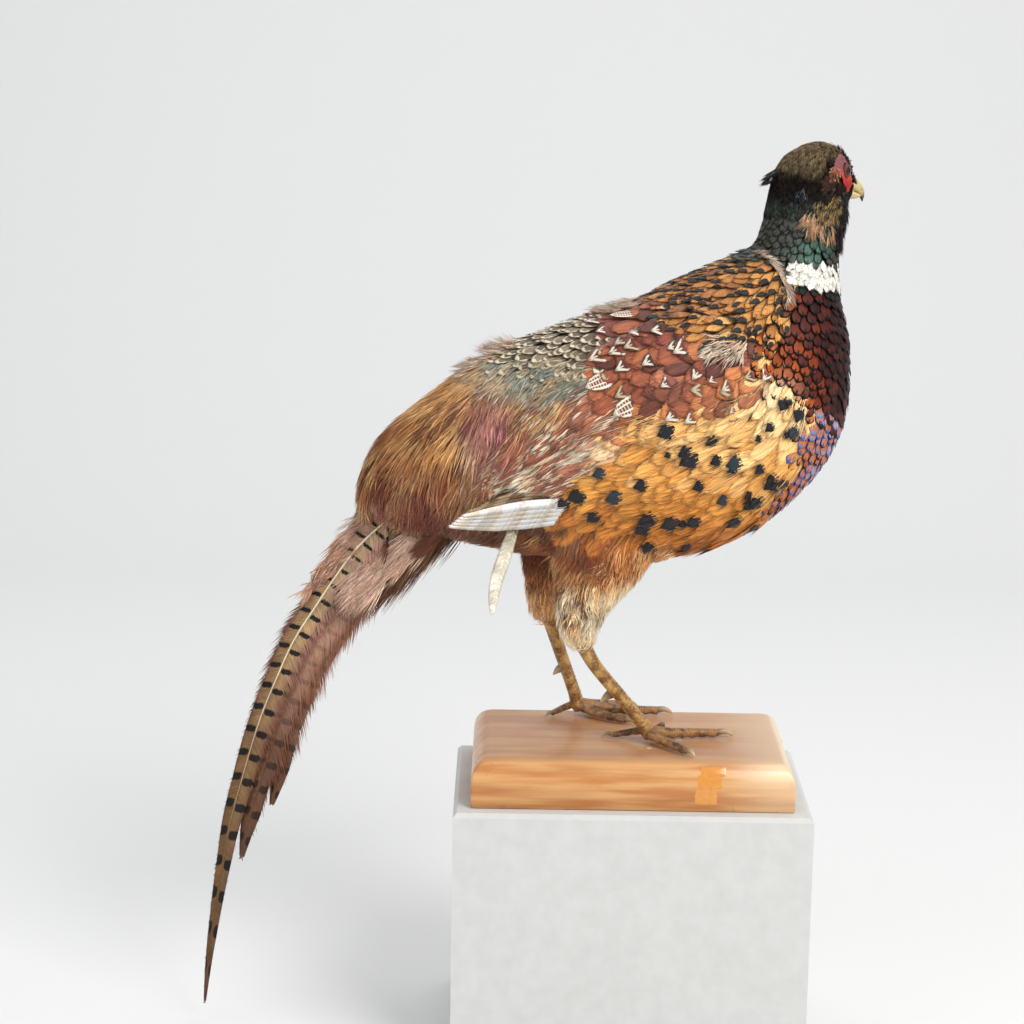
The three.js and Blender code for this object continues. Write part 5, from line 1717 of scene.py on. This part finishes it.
def face():
    p = Paint("bill_horn")
    place = p.place()
    grain = p.noise(p.place((1, 1, 3)), 220.0, 3.0)
    run, _, _ = p.parts(p.stored("vane").outputs["Vector"])
    _, _, height = p.parts(place)
    tone = p.rise(height, (PLINTH_HEIGHT + 427) * MM, (PLINTH_HEIGHT + 432) * MM)
    tint = p.mix(p.rise(grain, 0.35, 0.65), p.mix(tone, "#b89c5c", "#9c8468"),
                 p.mix(tone, "#d8c48e", "#c4b092"))  # fmt: skip
    tint = p.mix(p.rise(run, 17.0, 21.5), tint, "#4a3a26")
    tint = p.mix(p.both(p.math("SUBTRACT", 1.0, p.rise(run, 0.0, 2.6)), 0.5), tint, "#6e4a34")
    horn = p.finish(tint, p.scale(grain, 0.3, 0.7, 0.25, 0.42), p.bump(grain, 0.35, 0.0004),
                    Specular_IOR_Level=0.55)  # fmt: skip
    root, gape = 26.4, -3.6
    upper = tube(from_head([(root - 1.5, 0, 0.6), (root + 6, 0, 0.4), (root + 12, 0, -1.8),
                            (root + 16.5, 0, -5.4), (root + 18.8, 0, -10)]),
                 [4.35, 4.1, 3.4, 2.2, 0.35], 28, 44, 1.05)  # fmt: skip
    lower = tube(from_head([(root - 1.5, 0, gape - 3.4), (root + 7, 0, gape - 3.7),
                            (root + 12.5, 0, gape - 3.2), (root + 16, 0, gape - 2.6)]),
                 [3.3, 2.8, 1.9, 0.4], 24, 36, 1.15)  # fmt: skip
    bare("bill_upper_horn", [upper], horn, ["bill_upper"])
    bare("bill_lower_horn", [lower], horn, ["bill_lower"])
    p = Paint("nostril")
    dark = p.finish("#2a1a14", 0.6, p.bump(p.noise(p.place(), 900.0), 0.3, 0.0003))
    flaps = [tube(from_head([(root + 1.2, s * 4.15, 1.0), (root + 4.2, s * 3.95, 0.7),
                             (root + 6.6, s * 3.6, -0.1)]), [0.5, 0.85, 0.3], 14, 14, 0.8)
             for s in (-1, 1)]  # fmt: skip
    nostrils = bare("nostrils", flaps, dark, [])

    p = Paint("wattle_skin")
    place = p.place()
    cells = p.cells(place, 950.0)
    cloud = p.noise(place, 160.0, 3.0)
    high = p.stored("high").outputs["Fac"]
    red = p.mix(p.rise(cloud, 0.35, 0.65), "#a81c22", "#cc3028")
    orange = p.both(p.rise(high, 0.25, 0.45), p.rise(cloud, 0.4, 0.6))
    red = p.mix(p.both(orange, 0.7), red, "#c8603c")
    red = p.mix(p.rise(high, 0.45, 0.7), red, "#8c5658")
    red = p.mix(p.both(p.rise(cells, 0.55, 0.85), 0.6), red, "#5a1416")
    wattle_paint = p.finish(red, 0.5, p.bump(cells, 0.8, 0.0007), Specular_IOR_Level=0.4,
                            Subsurface_Weight=0.1, Subsurface_Scale=0.002)  # fmt: skip
    p = Paint("lid_skin")
    lid_paint = p.finish(p.mix(p.noise(p.place(), 700.0), "#3a1816", "#8a4440"), 0.6,
                         p.bump(p.cells(p.place(), 1400.0), 0.9, 0.0006))  # fmt: skip
    p = Paint("eye_glass")
    depth = p.stored("ring").outputs["Fac"]
    iris = p.mix(p.noise(p.place(), 1500.0, 4.0), "#1e0c04", "#43200a")
    iris = p.mix(p.rise(depth, 0.62, 0.7), iris, "#0c0604")
    pupil = p.mix(p.rise(depth, 0.34, 0.37), "#040202", iris)
    eye_paint = p.finish(pupil, 0.06, None, Specular_IOR_Level=0.3, Coat_Weight=0.3,
                         Coat_Roughness=0.02)  # fmt: skip
    for side, sign in (("right", -1), ("left", 1)):
        wattle = remade(joined(f"wattle_{side}_skin", [f"wattle_{side}"]), 0.55, 3)
        points, tris = points_of(wattle)
        bpy.data.objects.remove(wattle)
        local = in_head(points)
        bumps = np.array([noise.noise(Vector(q * 1.1)) + 0.5 * noise.noise(Vector(q * 2.3)) for q in points])
        out = local * 0
        out[:, 1] = sign
        local = local + out * (0.35 * bumps)[:, None]
        obj = mesh_object(f"wattle_{side}_skin", from_head(local), tris)
        put(obj.data, "high", "FLOAT", smooth(local[:, 2], -8, 15))
        obj.data.materials.append(wattle_paint)
        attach(obj, "root")
        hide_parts(f"wattle_{side}")
        centre = np.array([EYE["x"], sign * EYE["y"], EYE["z"]])
        look = unit(np.array([0.35, sign * 1.0, 0.1]))
        shape = bmesh.new()
        bmesh.ops.create_uvsphere(shape, u_segments=48, v_segments=32, radius=EYE["radius"] - 0.1)
        bmesh.ops.triangulate(shape, faces=shape.faces)
        spots = np.array([v.co for v in shape.verts])
        faces = np.array([[v.index for v in f.verts] for f in shape.faces])
        shape.free()
        eye = mesh_object(f"eye_{side}_glass", from_head(spots + centre), faces)
        toward = np.linalg.norm(np.cross(unit(spots), look), axis=1)
        put(eye.data, "ring", "FLOAT", np.where(spots @ look > 0, toward, 1.0))
        eye.data.materials.append(eye_paint)
        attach(eye, "root")
        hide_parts(f"eye_{side}")
        flat_x = unit(np.cross(look, [0, 0, 1.0]))
        flat_z = np.cross(flat_x, look)
        a = np.linspace(0, 2 * np.pi, 41)[:-1]
        ring = centre + look * (2.2 + 0.3 * np.abs(np.cos(a)) ** 2)[:, None]
        ring = ring + 4.5 * (np.cos(a)[:, None] * flat_x + 0.8 * np.sin(a)[:, None] * flat_z)
        ring = np.vstack([ring, ring[:2]])
        radii = [1.0 + 0.6 * max(0, math.sin(t)) for t in np.append(a, a[:2])]
        lid = tube(from_head(ring), radii, 12, 120, 1.0, HEAD_AXES @ look)
        bare(f"lids_{side}", [lid], lid_paint, [])


legs()
face()

# ---- base and plinth ----------------------------------------------------------------------------


def rounded(length, depth, radius, z):
    """A rectangle's outline with round corners."""
    corners = []
    for sx, sy, turn in ((1, 1, 0), (-1, 1, 90), (-1, -1, 180), (1, -1, 270)):
        for a in np.radians(np.linspace(turn, turn + 90, 7)):
            corners.append((sx * (length / 2 - radius) + radius * math.cos(a),
                            sy * (depth / 2 - radius) + radius * math.sin(a), z))  # fmt: skip
    return corners


def stacked(name, rings):
    """A closed solid through rings of equal point count."""
    count = len(rings[0])
    points = np.vstack([p for ring in rings for p in ring])
    middles = [np.mean(rings[0], 0), np.mean(rings[-1], 0)]
    k = np.arange(count)
    n = (k + 1) % count
    tris = [np.stack([n, k, np.full(count, len(points))], -1)]
    for r in range(len(rings) - 1):
        a, b = r * count + k, r * count + n
        tris += [np.stack([a, b, a + count], -1), np.stack([b, b + count, a + count], -1)]
    end = (len(rings) - 1) * count
    tris.append(np.stack([end + k, end + n, np.full(count, len(points) + 1)], -1))
    obj = mesh_object(name, np.vstack([points, middles]), np.concatenate(tris))
    obj.data.set_sharp_from_angle(angle=math.radians(50))
    return obj


def slab(name, centre, size, thick, turn, colour, rough, **fixed):
    """A thin patch with uneven edges that lies on the base; turn tips it from flat to upright."""
    a = np.linspace(0, 2 * np.pi, 25)[:-1]
    box = np.maximum(np.abs(np.cos(a)), np.abs(np.sin(a))) ** -1.0
    edge = np.stack([np.cos(a) * box * size[0] / 2, np.sin(a) * box * size[1] / 2, 0 * a], -1)
    edge *= 1 + 0.05 * rng.normal(size=(24, 1))
    tip = np.array(Matrix.Rotation(math.radians(turn), 3, "X"))
    rings = [(edge * share + (0, 0, up)) @ tip.T + centre
             for share, up in ((1, -thick), (1, 0.6 * thick), (0.93, thick))]
    obj = stacked(name, rings)
    p = Paint(name)
    mottle = p.noise(p.place(), 330.0, 3.0)
    tint = p.mix(mottle, colour, p.mix(0.3, colour, "#4a2c14"))
    obj.data.materials.append(p.finish(tint, rough, p.bump(mottle, 0.3, 0.0004), **fixed))
    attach(obj, "root")


def specks():
    """A bare piece of old tape on the front, spots of glue by the toes and a chip at an edge."""
    for i, (y, z, high, turn) in enumerate(
            ((-70.0, 11.5, 12, 90), (-69.3, 21.5, 9, 77), (-66.8, 28, 6.5, 57))):  # fmt: skip
        slab(f"tape_{i + 1}", (50 + 2.5 * i, y, z), (15 + i, high), 0.25, turn, "#ea9c40", 0.25,
             Coat_Weight=0.6)  # fmt: skip
    for i, (x, y, size) in enumerate(((-28, 50, 5), (34, -12, 4), (12, -33, 3.5), (48, 4, 3))):
        slab(f"glue_spot_{i + 1}", (x, y, BASE_TOP), (size, 0.7 * size), 0.25, 0, "#e4d8c4", 0.3)
    slab("edge_chip", (108.2, 18, 25.5), (5, 3), 0.5, 0, "#f0e4d0", 0.7)


def base():
    length, depth, side, moulding = 224.0, 140.0, 16.0, 13.0
    rings = [rounded(length - 1.6, depth - 1.6, 1.0, 0.0), rounded(length, depth, 1.5, 0.8),
             rounded(length, depth, 1.5, side - 0.5), rounded(length, depth, 1.5, side)]  # fmt: skip
    for a in np.linspace(0.05, math.pi / 2, 14):
        inset = moulding * (1 - math.cos(a))
        rings.append(rounded(length - 2 * inset, depth - 2 * inset, 1.5 + 0.3 * inset,
                             side + (BASE_TOP - side) * math.sin(a)))  # fmt: skip
    obj = stacked("wooden_base", rings)
    p = Paint("pine")
    grain = p.noise(p.place((1, 14, 14)), 9.0, 6.0, 0.6)
    fine = p.noise(p.place((2.2, 60, 60)), 12.0, 4.0)
    bands = p.noise(p.place((0.8, 5, 9)), 14.0, 2.0)
    tint = p.mix(p.rise(bands, 0.35, 0.65), "#c07a3e", "#dba468")
    tint = p.mix(p.both(p.rise(grain, 0.48, 0.68), 0.3), tint, "#a8682f")
    tint = p.mix(p.both(p.rise(fine, 0.55, 0.75), 0.2), tint, "#84501f")
    along, _, height = p.parts(p.place())
    # painted highlight: towards the right end the moulding, and less so the face below it, grows pale as if lit
    # there
    moulded = p.rise(height, (PLINTH_HEIGHT + 14) * MM, (PLINTH_HEIGHT + 26) * MM)
    right = p.both(p.rise(along, 50 * MM, 105 * MM), p.scale(moulded, 0.0, 1.0, 0.35, 0.8))
    tint = p.mix(right, tint, "#f6dcb6")
    top = p.rise(height, (PLINTH_HEIGHT + 31) * MM, (PLINTH_HEIGHT + 33.6) * MM)
    tint = p.mix(p.both(top, 0.5), tint, "#b0896c")
    smear = p.noise(p.place(), 26.0, 4.0)
    rough = p.math("ADD", p.scale(smear, 0.3, 0.7, 0.22, 0.42), p.both(top, 0.2))
    obj.data.materials.append(p.finish(tint, rough, p.bump(fine, 0.15, 0.0004), Coat_Weight=0.35,
                                       Coat_Roughness=0.2))  # fmt: skip
    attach(obj, "root")
    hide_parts("base")
    specks()
    p = Paint("plinth_paint")
    speck = p.noise(p.place(), 90.0, 5.0)
    tint = p.mix(speck, "#c6c6c4", "#d8d8d6")
    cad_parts["stand_plinth"].data.materials.clear()
    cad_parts["stand_plinth"].data.materials.append(
        p.finish(tint, 0.75, p.bump(speck, 0.12, 0.0006)))  # fmt: skip


base()

# ---- camera, light and floor ----------------------------------------------------------------


def studio():
    data = bpy.data.cameras.new("camera")
    data.lens, data.sensor_width = 93.4, 36.0
    camera = bpy.data.objects.new("camera", data)
    bpy.context.scene.collection.objects.link(camera)
    tilt = Matrix.Rotation(math.radians(90 - 11.9), 4, "X") @ Matrix.Rotation(math.radians(0.9), 4, "Z")
    camera.matrix_world = Matrix.Translation((-0.0865, -1.82, 0.764)) @ tilt
    bpy.context.scene.camera = camera
    # A floor that curves up into a wall behind the bird.
    bend = [(-6.0, 0.0)] + [
        (1.4 + 1.0 * math.sin(a), 1.0 - 1.0 * math.cos(a)) for a in np.linspace(0, math.pi / 2, 24)
    ] + [(2.4, 7.0)]  # fmt: skip
    mesh = bpy.data.meshes.new("floor")
    rows = [[(x, y, z) for x in (-8.0, 8.0)] for y, z in bend]
    mesh.from_pydata([p for r in rows for p in r], [],
                     [(2 * i, 2 * i + 1, 2 * i + 3, 2 * i + 2) for i in range(len(bend) - 1)])  # fmt: skip
    for polygon in mesh.polygons:
        polygon.use_smooth = True
    floor = bpy.data.objects.new("floor", mesh)
    bpy.context.scene.collection.objects.link(floor)
    p = Paint("floor")
    mesh.materials.append(p.finish("#e6e6e6", 0.9))
    for name, place, size, power, colour in (
        ("key", (1.3, -1.7, 2.2), 1.3, 58, (1.0, 0.98, 0.95)),
        ("fill", (-2.2, -1.9, 1.2), 2.0, 16, (0.95, 0.97, 1.0)),
        ("top", (0.0, 0.6, 2.6), 1.8, 20, (1.0, 1.0, 1.0)),
    ):
        lamp = bpy.data.lights.new(name, "AREA")
        lamp.energy, lamp.size, lamp.color = power, size, colour
        light = bpy.data.objects.new(name, lamp)
        bpy.context.scene.collection.objects.link(light)
        light.location = place
        aim = Vector((-0.05, 0, 0.4)) - Vector(place)
        light.rotation_euler = aim.to_track_quat("-Z", "Y").to_euler()
    world = bpy.data.worlds.new("world")
    world.use_nodes = True
    world.node_tree.nodes["Background"].inputs[0].default_value = (0.92, 0.94, 0.96, 1)
    world.node_tree.nodes["Background"].inputs[1].default_value = 0.55
    bpy.context.scene.world = world
    bpy.context.scene.view_settings.view_transform = "Standard"


studio()
bpy.data.objects.remove(outer_object)
